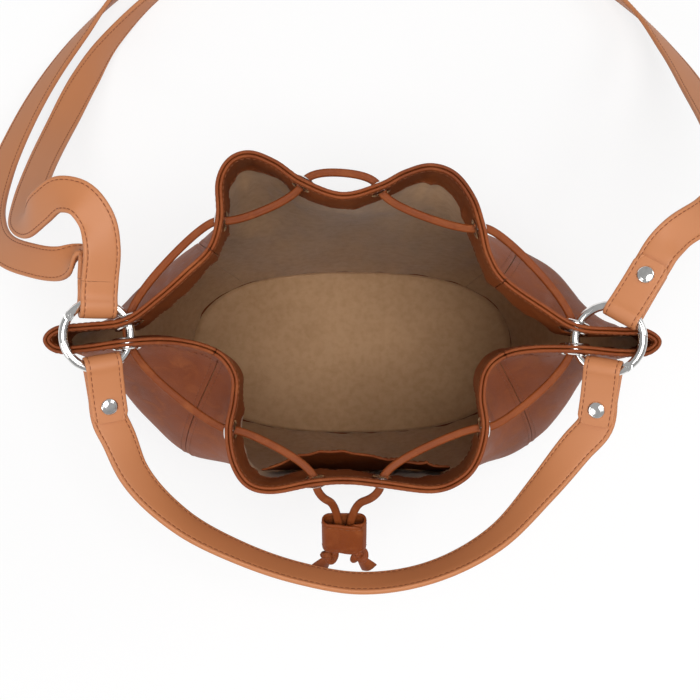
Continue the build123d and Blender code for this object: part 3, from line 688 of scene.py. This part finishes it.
def make_materials(colours):
    """Every finish of the bag, by name."""
    grain, weave, marks = leather_grain(), cloth_weave(), handling_marks()
    hide = {"Colour": tuple(colours.leather), "Shade": tuple(colours.leather_shade),
            "Light": tuple(colours.leather_highlight)}
    cloth = {"Colour": tuple(colours.lining), "Shade": tuple(colours.lining_shade)}
    straps = {key: (*[STRAP_TONE * part for part in colour[:3]], 1.0) for key, colour in hide.items()}
    steel = {"Colour": tuple(colours.steel), "Dull": (0.62, 0.61, 0.6, 1)}
    surface("wall_leather", grain, {**hide, "Cell": 0.0015, "Relief": 0.34}, Specular_IOR_Level=0.24)
    surface("strap_leather", grain, {**straps, "Cell": 0.0011, "Relief": 0.26}, Specular_IOR_Level=0.22)
    surface("lace_leather", grain, {**hide, "Cell": 0.0008, "Relief": 0.22}, Specular_IOR_Level=0.22)
    surface("pocket_leather", grain, {**hide, "Cell": 0.0014, "Relief": 0.3}, Specular_IOR_Level=0.2)
    surface("lining_cloth", weave, cloth, Sheen_Weight=0.15)
    surface("thread", grain, {**hide, "Colour": tuple(colours.thread), "Cell": 0.0004})
    surface("nickel", marks, steel, Metallic=1.0)
    surface("fibreboard", marks, {"Colour": (0.12, 0.1, 0.08, 1), "Dull": (0.08, 0.07, 0.06, 1),
                                  "Smooth": 0.6, "Smudged": 0.8, "Relief": 0.4})


def finish(name):
    """One of the bag's materials, by name; all of them are made the first time one is asked for."""
    if name not in bpy.data.materials:
        make_materials(bpy.context.scene.bag_colours)
    return bpy.data.materials[name]


# ------------------------------------------------------------------ stitches
def stitch_tree():
    """Geometry nodes: thread stitches laid end to end along every edge path of the object."""
    tree = bpy.data.node_groups.new("stitch_row", "GeometryNodeTree")
    face = tree.interface
    face.new_socket("Geometry", in_out="INPUT", socket_type="NodeSocketGeometry")
    for title, default in (("Pitch", 0.0033), ("Length", 0.0026), ("Thread", 0.0006)):
        face.new_socket(title, in_out="INPUT", socket_type="NodeSocketFloat").default_value = default
    face.new_socket("Material", in_out="INPUT", socket_type="NodeSocketMaterial")
    face.new_socket("Geometry", in_out="OUTPUT", socket_type="NodeSocketGeometry")
    given, result = node(tree, "NodeGroupInput").outputs, node(tree, "NodeGroupOutput").inputs
    path = node(tree, "GeometryNodeMeshToCurve", {0: given["Geometry"]})
    dots = node(tree, "GeometryNodeCurveToPoints", {"Curve": path.outputs[0], "Length": given["Pitch"]},
                mode="LENGTH")
    turn = node(tree, "FunctionNodeAlignRotationToVector", {"Vector": dots.outputs["Tangent"]}, axis="Z")
    bead = node(tree, "GeometryNodeMeshUVSphere", {"Segments": 6, "Rings": 4, "Radius": 0.5})
    size = node(tree, "ShaderNodeCombineXYZ", {0: given["Thread"], 1: given["Thread"], 2: given["Length"]})
    shaped = node(tree, "GeometryNodeTransform", {"Geometry": bead.outputs[0], "Scale": size.outputs[0]})
    placed = node(tree, "GeometryNodeInstanceOnPoints", {
        "Points": dots.outputs["Points"], "Instance": shaped.outputs[0], "Rotation": turn.outputs[0],
    })
    real = node(tree, "GeometryNodeRealizeInstances", {0: placed.outputs[0]})
    coloured = node(tree, "GeometryNodeSetMaterial",
                    {"Geometry": real.outputs[0], "Material": given["Material"]})
    tree.links.new(coloured.outputs[0], result[0])
    return tree


def stitches(name, lines, slot, body, bend=None):
    """Stitches along lines of points, as one mesh on one body."""
    sizes = bpy.context.scene.bag_sizes
    verts = np.concatenate(lines)
    edges, start = [], 0
    for line in lines:
        edges += [(start + i, start + i + 1) for i in range(len(line) - 1)]
        start += len(line)
    mesh = bpy.data.meshes.new(name)
    mesh.from_pydata([tuple(v) for v in verts], edges, [])
    piece = bpy.data.objects.new(name, mesh)
    bpy.context.scene.collection.objects.link(piece)
    tree = bpy.data.node_groups.get("stitch_row") or stitch_tree()
    row = piece.modifiers.new("stitches", "NODES")
    row.node_group = tree
    values = {"Pitch": sizes.stitch_pitch, "Length": sizes.stitch_length, "Thread": sizes.thread,
              "Material": finish("thread")}
    for item in tree.interface.items_tree:
        if item.in_out == "INPUT" and item.name in values:
            row[item.identifier] = values[item.name]
    apply_modifiers(piece)
    piece.data.polygons.foreach_set("use_smooth", [True] * len(piece.data.polygons))
    if "UVMap" not in piece.data.uv_layers:
        piece.data.uv_layers.new(name="UVMap")
    return fit(piece, finish("thread"), slot, body, bend=bend)


# ------------------------------------------------------------------ settings
def length(title, text, value):
    return FloatProperty(name=title, description=text, default=value, unit="LENGTH", subtype="DISTANCE",
                         precision=4)


def tint(title, text, value):
    return FloatVectorProperty(name=title, description=text, default=(*value, 1.0), size=4, subtype="COLOR",
                               min=0.0, max=1.0)


class BagSizes(PropertyGroup):
    """Sizes of the bag's leather, cloth and thread."""

    leather: length("Wall leather", "Thickness of the outer leather", 0.002)
    facing: length("Facing", "Thickness of the leather facing inside the rim", 0.0018)
    lining: length("Lining", "Thickness of the lining", 0.0008)
    fold_depth: length("Fold depth", "How far the soft walls stand out and in", 0.0030)
    ruck_depth: length("Lining rucks", "How far the lining stands off the wall", 0.0036)
    pocket_gape: length("Pocket gape", "How far the slip pocket's mouth stands open", 0.0088)
    strap_width: length("Strap width", "Width of the handle and the shoulder strap", 0.020)
    strap_thickness: length("Strap thickness", "Thickness of the handle and the shoulder strap", 0.003)
    tab_thickness: length("Tab leather", "Thickness of the tabs round the rings", 0.0016)
    lace_width: length("Lace width", "Width of the folded drawstring", 0.0046)
    stitch_pitch: length("Stitch pitch", "From one stitch to the next", 0.0034)
    stitch_length: length("Stitch length", "Length of thread that shows in one stitch", 0.0027)
    thread: length("Thread", "Thickness of the thread", 0.0005)


class BagColours(PropertyGroup):
    """Colours of the bag's finishes."""

    leather: tint("Leather", "Main colour of the hide", (0.25, 0.056, 0.010))
    # This colour is a shaded copy of the hide: painted shade, laid in the grain's furrows and in random
    # cloudy patches.
    leather_shade: tint("Leather shade", "Darker dye in the folds and grain", (0.125, 0.023, 0.004))
    # This colour is a lit copy of the hide: painted highlight, laid in fine random streaks.
    leather_highlight: tint("Leather light", "Paler pull-up where the hide bends", (0.37, 0.115, 0.034))
    lining: tint("Lining", "Main colour of the lining", (0.50, 0.30, 0.155))
    # This colour is a shaded copy of the lining: painted shade between its threads, and in random drift and
    # slubs.
    lining_shade: tint("Lining shade", "Colour between the lining's threads", (0.28, 0.15, 0.062))
    thread: tint("Thread", "Colour of the stitches", (0.25, 0.07, 0.018))
    steel: tint("Metal", "Colour of the plated metal", (0.88, 0.87, 0.85))
    floor: tint("Floor", "Colour of the floor", (0.93, 0.93, 0.93))


def settings():
    scene = bpy.context.scene
    return scene.bag_sizes, scene.bag_colours


def arc_steps(radius):
    """Steps round the back of a ring's wire, as (out, above)."""
    return [(radius * cos(radians(a)), radius * sin(radians(a))) for a in range(60, 301, 20)]


def route_rows(frame_rows, route):
    """Course rows from (out, above) steps in a tab's own frame."""
    origin, along, across, up = [np.array(row) for row in frame_rows]
    return [(*(origin + along * out + up * above), *across) for out, above in route]


def tab_rows(frame_rows, sizes):
    """Course of a tab folded round a ring, with its two plies on the strap's two sides."""
    plies = sizes.strap_thickness / 2 + TAB_GAP + sizes.tab_thickness / 2
    half = [(TAB_REACH, plies), (0.016, plies), (0.009, plies + 0.0009)]
    route = half + arc_steps(TAB_LOOP) + [(out, -above) for out, above in half[::-1]]
    return route_rows(frame_rows, route)


def ring_bend(frame_rows, near, far):
    """Stretch of a tab or wrap, from its ring outwards, given as its bend."""
    origin, along = [np.array(row) for row in frame_rows[:2]]
    return tuple(origin + along * near), tuple(origin + along * far)


def rivet(name, frame_rows):
    """Domed cap, post and flat back, through a tab."""
    origin, along, across, up = [np.array(row) for row in frame_rows]
    level = 0.0037
    profile = [(0.0002, 0.00165), (0.0014, 0.0016), (0.0026, 0.00145), (0.0031, 0.0013), (0.0033, 0.00115),
               (0.0035, 0.00118), (0.0041, 0.00095), (0.00455, 0.0006), (0.00475, 0.0002), (0.0047, -0.0001),
               (0.0016, -0.0001)]
    profile = [(radius, level + height) for radius, height in profile]
    profile += [(0.0016, -level), (0.0046, -level), (0.0047, -level - 0.0003), (0.0042, -level - 0.0008),
                (0.0002, -level - 0.001)]
    return lathe(name, profile, origin + along * RIVET_PLACE, up, across)


# ------------------------------------------------------------------ operators
class BAG_OT_walls(Operator):
    """Outer leather: four panels, the base, and their stitching"""

    bl_idname = "bag.walls"
    bl_label = "Leather walls"

    def execute(self, context):
        sizes, _ = settings()
        shape = BagShape(sizes)
        for side, part in WALL_NODES.items():
            columns = side_columns(side)
            wall = wall_piece(part + "_leather", shape, columns, WALL_FOOT, RIM_HEIGHT,
                              sizes.leather, 0.0, 84)
            pierce(wall)
            fit(wall, finish("wall_leather"), "leather", "bag", part)
            facing = wall_piece(side + "_rim_facing", shape, columns, COLLAR_FOOT, RIM_HEIGHT,
                                -FACING_GAP, -FACING_GAP - sizes.facing, 16)
            pierce(facing)
            fit(facing, finish("wall_leather"), "leather", "bag", "rim_facing_" + side)
        outer, edge = -sizes.leather, 0.0006
        base = disc("base_leather", shape, [
            (outer, 0, 0.02), (outer, 0, 0.5), (outer, 0, 0.9), (outer + edge, 0, 0.995), (outer, edge, 1),
            (outer, 0.002 - edge, 1), (outer + edge, 0.002, 0.998), (outer, 0.002, 0.5), (outer, 0.002, 0.02),
        ])
        fit(base, finish("wall_leather"), "leather", "bag", "base_panel")
        around = np.arange(0, COLUMNS + 1, 2).astype(float)
        lines = [shape.place(z, around, offset) for z in (0.2368, 0.2035)
                 for offset in (sizes.leather + THREAD_LIFT, -FACING_GAP - THREAD_LIFT - sizes.facing)]
        heights = np.linspace(0.006, 0.234, 90)
        for first, _ in SEAMS.values():
            for shift in (-1.5, 1.5):
                column = np.array([station(first) + shift])
                rows = [shape.place(z, column, sizes.leather + THREAD_LIFT) for z in heights]
                lines.append(np.concatenate(rows))
        stitches("wall_stitches", lines, "leather", "bag")
        return {"FINISHED"}


def pierce(wall):
    """Cuts the eyelets' holes through a layer of the wall."""
    drills = []
    for places, radius in ((CORD_EYELETS, 0.0042), (RING_EYELETS, 0.0072)):
        for place in places:
            profile = [(radius, -0.0055), (radius, 0.0055)]
            drills.append(lathe("drill", profile, place[:3], place[3:], (0, 0, 1)))
    drill = joined("drills", drills)
    cut = wall.modifiers.new("eyelet holes", "BOOLEAN")
    cut.operation, cut.solver, cut.object = "DIFFERENCE", "EXACT", drill
    apply_modifiers(wall)
    bpy.data.objects.remove(drill)


class BAG_OT_lining(Operator):
    """Cloth lining of the four walls and the floor, and the leather slip pocket"""

    bl_idname = "bag.lining"
    bl_label = "Lining and pocket"

    def execute(self, context):
        sizes, _ = settings()
        shape = BagShape(sizes)

        def rucks(z, columns):
            """The lining hangs loosely off the wall, more towards the floor."""
            fade = smooth_step(0.2, 0.17, z) if z > 0.17 else 1.0
            line, _ = shape.section(z)
            hang = []
            for column in columns:
                x, y = line[int(round(column)) % COLUMNS]
                wide = noise.noise(Vector((x / 0.021 + 3, y / 0.021, z / 0.07)))
                fine = noise.noise(Vector((x / 0.009, y / 0.009 + 7, z / 0.03)))
                hang.append(0.35 + 0.5 * wide + 0.22 * fine)
            return -np.clip(np.array(hang), 0, 1.2) * sizes.ruck_depth * (0.15 + 0.85 * fade)

        for side in WALL_NODES:
            cloth = wall_piece(side + "_lining", shape, side_columns(side), LINING_FOOT, COLLAR_FOOT,
                               -LINING_GAP, -LINING_GAP - sizes.lining, 64, rucks)
            fit(cloth, finish("lining_cloth"), "lining", "bag", "lining_" + side)

        def ripple(x, y):
            wide = noise.noise(Vector((x / 0.045, y / 0.03, 2.5)))
            fine = noise.noise(Vector((x / 0.016, y / 0.012, 8.5)))
            return 0.0022 * max(0.0, 0.35 + wide + 0.5 * fine)

        inset = 0.0016
        low, high = 0.0046, 0.0056
        shares_in = [0.02, 0.1, 0.2, 0.3, 0.4, 0.5, 0.6, 0.7, 0.8, 0.87, 0.93, 0.955, 0.975, 0.99, 1.0]
        welt = {0.93: 0.0002, 0.955: 0.0014, 0.975: 0.0016, 0.99: 0.0006}
        profile = [(inset, low, share) for share in shares_in]
        profile += [(inset, high + welt.get(share, 0), share) for share in shares_in[::-1]]
        floor = disc("floor_lining", shape, profile, ripple)
        fit(floor, finish("lining_cloth"), "lining", "bag", "lining_floor")

        first, last = station((60, -73)), station((-58, -75.5))
        columns = np.arange(first, last + 1).astype(float)
        share = (columns - first) / (last - first)

        def gape(z, _):
            """The mouth stands open like a lens, and closes towards the pocket's foot."""
            return -sizes.pocket_gape * np.sin(pi * share) ** 0.8 * smooth_step(0.1, 0.192, z) - 0.0018

        foot, mouth = 0.106, 0.197
        outside, inside = -0.0016, -0.0032
        pocket = wall_piece("pocket_leather", shape, columns, foot, mouth, outside, inside, 40, gape)
        fit(pocket, finish("pocket_leather"), "leather", "bag", "slip_pocket")
        clear = slice(4, -4)
        lines = [shape.place(z, columns[clear], inside - 0.0002 + gape(z, None)[clear])
                 for z in (0.1925, 0.1895, 0.109)]
        stitches("pocket_stitches", lines, "leather", "bag")
        return {"FINISHED"}


class BAG_OT_handle(Operator):
    """Short handle with its two tabs, rivets and stitching"""

    bl_idname = "bag.handle"
    bl_label = "Handle"

    def execute(self, context):
        sizes, _ = settings()
        width, thick, ply = sizes.strap_width, sizes.strap_thickness, sizes.tab_thickness
        fit(strap("handle_leather", HANDLE_COURSE, width, thick), finish("strap_leather"), "strap_leather",
            "handle", "handle_strap")
        lines = strap_seams(HANDLE_COURSE, width, thick, 0.02)
        for rows, part in ((HANDLE_LEFT, "handle_tab_left"), (HANDLE_RIGHT, "handle_tab_right")):
            course = tab_rows(rows, sizes)
            bend = ring_bend(rows, *TAB_BEND)
            fit(strap(part + "_leather", course, width, ply), finish("strap_leather"), "strap_leather",
                "handle", part, bend=bend)
            stitches(part + "_stitches", strap_seams(course, width, ply), "strap_leather", "handle", bend)
        fit(joined("handle_rivet_caps", [rivet("cap", HANDLE_LEFT), rivet("cap", HANDLE_RIGHT)]),
            finish("nickel"), "steel", "handle", "handle_rivets")
        stitches("handle_stitches", lines, "strap_leather", "handle")
        return {"FINISHED"}


class BAG_OT_shoulder_strap(Operator):
    """Long shoulder strap with its second strand, ring wrap, tab, rivet and adjuster"""

    bl_idname = "bag.shoulder_strap"
    bl_label = "Shoulder strap"

    def execute(self, context):
        sizes, _ = settings()
        width, thick, ply = sizes.strap_width, sizes.strap_thickness, sizes.tab_thickness
        reach = WRAP_BEND[1]
        bight = route_rows(STRAP_LEFT, [(reach, 0.0065), *arc_steps(WRAP_LOOP), (reach, -0.0065)])
        tab = tab_rows(STRAP_RIGHT, sizes)
        for name, course, part, depth, ends, bend in (
            ("strap", STRAP_COURSE, "shoulder_strap", thick, (True, False), None),
            ("return", RETURN_COURSE, "strap_return", thick, (False, True), None),
            ("wrap", bight, "strap_bight", thick, (False, False), ring_bend(STRAP_LEFT, *WRAP_BEND)),
            ("strap_tab", tab, "strap_tab_right", ply, (True, True), ring_bend(STRAP_RIGHT, *TAB_BEND)),
        ):
            fit(strap(name + "_leather", course, width, depth, ends), finish("strap_leather"),
                "strap_leather", "shoulder_strap", part, bend=bend)
            stitches(name + "_stitches", strap_seams(course, width, depth, 0.003), "strap_leather",
                     "shoulder_strap", bend)
        fit(rivet("strap_rivet_cap", STRAP_RIGHT), finish("nickel"), "steel", "shoulder_strap", "strap_rivet")
        fit(copy_of("strap_buckle", 0.0009), finish("nickel"), "steel", "shoulder_strap", "strap_buckle")
        return {"FINISHED"}


class BAG_OT_hardware(Operator):
    """Rings, gates, pins, eyelets and the board in the base"""

    bl_idname = "bag.hardware"
    bl_label = "Hardware"

    def execute(self, context):
        for part in ("ring_left", "ring_right", "gate_left", "gate_right", "gate_pins"):
            NODES[part].material_slots[0].material = finish("nickel")
        NODES["base_board"].material_slots[0].material = finish("fibreboard")
        for name, places, bore, part in (("lace_eyelets", CORD_EYELETS, 0.007, "drawstring_eyelets"),
                                         ("ring_eyelet_rims", RING_EYELETS, 0.013, "ring_eyelets")):
            rims = [eyelet("rim", place, bore, (-0.0023, 0.0023)) for place in places]
            fit(joined(name, rims), finish("nickel"), "steel", "bag", part)
        return {"FINISHED"}


def nurbs_path(points):
    """Points along the smooth line of an open NURBS spline."""
    curve = bpy.data.curves.new("drawstring_line", "CURVE")
    curve.dimensions = "3D"
    curve.resolution_u = 14
    spline = curve.splines.new("NURBS")
    spline.points.add(len(points) - 1)
    for target, point in zip(spline.points, points):
        target.co = (*point, 1.0)
    spline.order_u = 3
    spline.use_endpoint_u = True
    carrier = bpy.data.objects.new("drawstring_line", curve)
    bpy.context.scene.collection.objects.link(carrier)
    mesh = bpy.data.meshes.new_from_object(carrier)
    path = np.array([tuple(v.co) for v in mesh.vertices])
    bpy.data.objects.remove(carrier)
    return path


def lace_rings(path, width, closed=False):
    """Sections of a lace folded along its length, with the fold's groove on its upper side."""
    tangent = np.gradient(path, axis=0)
    if closed:
        tangent = np.roll(path, -1, 0) - np.roll(path, 1, 0)
    tangent = unit(tangent)
    across = unit(np.cross((0, 0, 1), tangent) + 1e-6)
    up = np.cross(tangent, across)
    angle = pi - 2 * pi * (np.arange(24) + 0.5) / 24
    side = np.sign(np.cos(angle)) * abs(np.cos(angle)) ** 0.8 * width / 2
    rise = np.sign(np.sin(angle)) * abs(np.sin(angle)) ** 0.8 * width * 0.37
    rise = rise - np.where(rise > 0, 0.0011 * np.exp(-((side / 0.0004) ** 2)), 0)
    return path[:, None, :] + across[:, None, :] * side[None, :, None] + up[:, None, :] * rise[None, :, None]


class BAG_OT_drawstring(Operator):
    """Drawstring of folded leather lace, with its knots and the wrapped sleeve"""

    bl_idname = "bag.drawstring"
    bl_label = "Drawstring"

    def execute(self, context):
        sizes, _ = settings()
        path = nurbs_path(DRAWSTRING_POINTS)
        lace = loft("drawstring_lace", lace_rings(path, sizes.lace_width))
        fit(lace, finish("lace_leather"), "cord_leather", "bag", "drawstring")
        way = np.array(SLEEVE_WAY)
        knots = []
        for side, end in ((-1, path[0]), (1, path[-1])):
            knots += self.knot(end, unit(np.array((side * 0.55, -way[1], -way[2]))), side)
        knot = joined("drawstring_knots_leather", knots)
        fit(knot, finish("lace_leather"), "cord_leather", "bag", "drawstring_knots")
        self.sleeve(way)
        return {"FINISHED"}

    def knot(self, end, way, side):
        """Overhand knot in the lace, and the flared tail below it."""
        centre = end + way * 0.005 + np.array((side * 0.0033, 0, 0))
        across = unit(np.cross(way, (0, 0.6, -0.8)))
        third = np.cross(way, across)
        t = 2 * pi * np.arange(72) / 72
        size = 0.00135
        loop = (centre + across * ((np.sin(t) + 2 * np.sin(2 * t)) * size)[:, None]
                + way * ((np.cos(t) - 2 * np.cos(2 * t)) * size * 1.15)[:, None]
                + third * (-np.sin(3 * t) * size * 1.5)[:, None])
        pieces = [loft("turns", lace_rings(loop, 0.0042, closed=True), closed=True)]
        angle = pi - 2 * pi * (np.arange(20) + 0.5) / 20
        rings = []
        for step in np.linspace(0, 1, 12):
            half, depth = 0.0022 + 0.0030 * step**0.8, 0.0016 - 0.0005 * step
            if step == 1:
                half, depth = half * 0.97, depth * 0.7
            curl = 0.0009 * step * np.cos(np.cos(angle) * 2.6)
            rings.append(centre + way * (0.003 + 0.0115 * step) + across * (np.cos(angle) * half)[:, None]
                         + third * (np.sin(angle) * depth + curl)[:, None])
        pieces.append(loft("tail", np.array(rings)))
        return pieces

    def sleeve(self, way):
        """Band of leather wrapped round both runs of the lace, its end lapped over on the right."""
        half, low, high, corner = 0.0084, -0.0042, 0.0042, 0.0038

        def corners(x, y, angles):
            return [(x + corner * sin(radians(a)), y + corner * cos(radians(a))) for a in angles]

        turn = [(0.002, high - 0.0003), (half, high)]
        turn += corners(half, 0.0004, (22, 45, 68, 90)) + corners(half, -0.0004, (90, 112, 135, 158))
        turn += [(half, low), (0.004, low), (-0.004, low), (-half, low)]
        turn += corners(-half, -0.0004, (202, 225, 248, 270)) + corners(-half, 0.0004, (270, 292, 315, 338))
        turn += [(-half, high), (-0.003, high + 0.0004), (0.002, high + 0.0015), (0.007, high + 0.0016),
                 (0.0105, high + 0.001)]
        turn = [point for i, point in enumerate(turn) if i == 0 or point != turn[i - 1]]
        middle = np.array(SLEEVE_MIDDLE)
        up = np.array((0, -way[2], way[1]))
        rows = [(*(middle + np.array((x, 0, 0)) + up * y), *way) for x, y in turn]
        width, thick = SLEEVE_LENGTH, SLEEVE_LEATHER
        band = strap("sleeve_leather", rows, width, thick)
        fit(band, finish("wall_leather"), "cord_leather", "sleeve", "toggle_sleeve")
        stitches("sleeve_stitches", strap_seams(rows, width, thick, faces=(1,)), "cord_leather", "sleeve")


def aimed(place, target):
    """Rotation of a lamp or camera at a place that looks at a target."""
    return (Vector(target) - Vector(place)).to_track_quat("-Z", "Y").to_euler()


class BAG_OT_stage(Operator):
    """Floor, soft light and camera"""

    bl_idname = "bag.stage"
    bl_label = "Stage"

    def execute(self, context):
        _, colours = settings()
        scene = context.scene
        mesh = bpy.data.meshes.new("floor")
        reach = 6.0
        mesh.from_pydata([(-reach, -reach, 0), (reach, -reach, 0), (reach, reach, 0), (-reach, reach, 0)], [],
                         [(0, 1, 2, 3)])
        floor = bpy.data.objects.new("floor", mesh)
        scene.collection.objects.link(floor)
        floor.location.z = -0.0004
        mesh.materials.append(self.floor_material(tuple(colours.floor)))
        world = bpy.data.worlds.new("studio")
        world.use_nodes = True
        scene.world = world
        self.light_world(world.node_tree)
        for name, place, power in (("overhead", (0.12, -0.12, 1.8), 19), ("left", (-1.5, -0.9, 1.3), 9),
                                   ("right", (1.5, 0.7, 1.4), 7)):
            self.softbox(name, place, power)
        eye = bpy.data.cameras.new("camera")
        eye.sensor_width = 36
        eye.lens = 36 / (2 * tan(radians(CAMERA_FIELD) / 2))
        eye.clip_start = 0.01
        camera = bpy.data.objects.new("camera", eye)
        scene.collection.objects.link(camera)
        camera.location = CAMERA_PLACE
        camera.rotation_euler = aimed(CAMERA_PLACE, CAMERA_AIM)
        scene.camera = camera
        scene.view_settings.view_transform = "Standard"
        return {"FINISHED"}

    def floor_material(self, colour):
        """Pale floor that the camera sees nearly white, with the bag's soft shadow on it."""
        material = bpy.data.materials.new("pale_floor")
        material.use_nodes = True
        tree = material.node_tree
        principled = tree.nodes["Principled BSDF"]
        principled.inputs["Base Color"].default_value = colour
        principled.inputs["Roughness"].default_value = 0.9
        rays = node(tree, "ShaderNodeLightPath").outputs
        seen = arithmetic(tree, "MAXIMUM", rays["Is Camera Ray"], rays["Is Glossy Ray"])
        glow = node(tree, "ShaderNodeEmission", {"Color": (1, 1, 1, 1), "Strength": 1.0}).outputs[0]
        mix = node(tree, "ShaderNodeMixShader", {
            0: arithmetic(tree, "MULTIPLY", seen, 0.72), 1: principled.outputs[0], 2: glow,
        })
        tree.links.new(mix.outputs[0], tree.nodes["Material Output"].inputs["Surface"])
        return material

    def light_world(self, tree):
        """Even light, and plain white wherever the camera sees past the floor."""
        background = tree.nodes["Background"]
        background.inputs["Color"].default_value = (1, 1, 1, 1)
        rays = node(tree, "ShaderNodeLightPath").outputs
        strength = ramp(tree, rays["Is Camera Ray"], 0.0, 1.0, WORLD_LIGHT, 1.0)
        tree.links.new(strength, background.inputs["Strength"])

    def softbox(self, name, place, power):
        target = (0, 0, 0.1)
        lamp = bpy.data.lights.new(name, "AREA")
        lamp.shape, lamp.size, lamp.energy = "DISK", 1.0, power
        made = bpy.data.objects.new(name, lamp)
        bpy.context.scene.collection.objects.link(made)
        made.location = place
        made.rotation_euler = aimed(place, target)


STEPS = (BAG_OT_stage, BAG_OT_drawstring, BAG_OT_walls, BAG_OT_lining, BAG_OT_hardware, BAG_OT_handle,
         BAG_OT_shoulder_strap)


class BAG_PT_maker(Panel):
    """Sizes, colours and pieces of the bucket bag"""

    bl_label = "Bucket Bag"
    bl_idname = "BAG_PT_maker"
    bl_space_type = "VIEW_3D"
    bl_region_type = "UI"
    bl_category = "Bucket Bag"

    def draw(self, context):
        for group_of in (context.scene.bag_sizes, context.scene.bag_colours):
            box = self.layout.box()
            for key in group_of.__annotations__:
                box.prop(group_of, key)
        for step in STEPS:
            self.layout.operator(step.bl_idname)


CLASSES = (BagSizes, BagColours, *STEPS, BAG_PT_maker)


def register():
    for kind in CLASSES:
        bpy.utils.register_class(kind)
    bpy.types.Scene.bag_sizes = PointerProperty(type=BagSizes)
    bpy.types.Scene.bag_colours = PointerProperty(type=BagColours)


def unregister():
    del bpy.types.Scene.bag_colours
    del bpy.types.Scene.bag_sizes
    for kind in reversed(CLASSES):
        bpy.utils.unregister_class(kind)


def main():
    register()
    for step in STEPS:
        family, name = step.bl_idname.split(".")
        getattr(getattr(bpy.ops, family), name)()


if __name__ == "__main__":
    main()
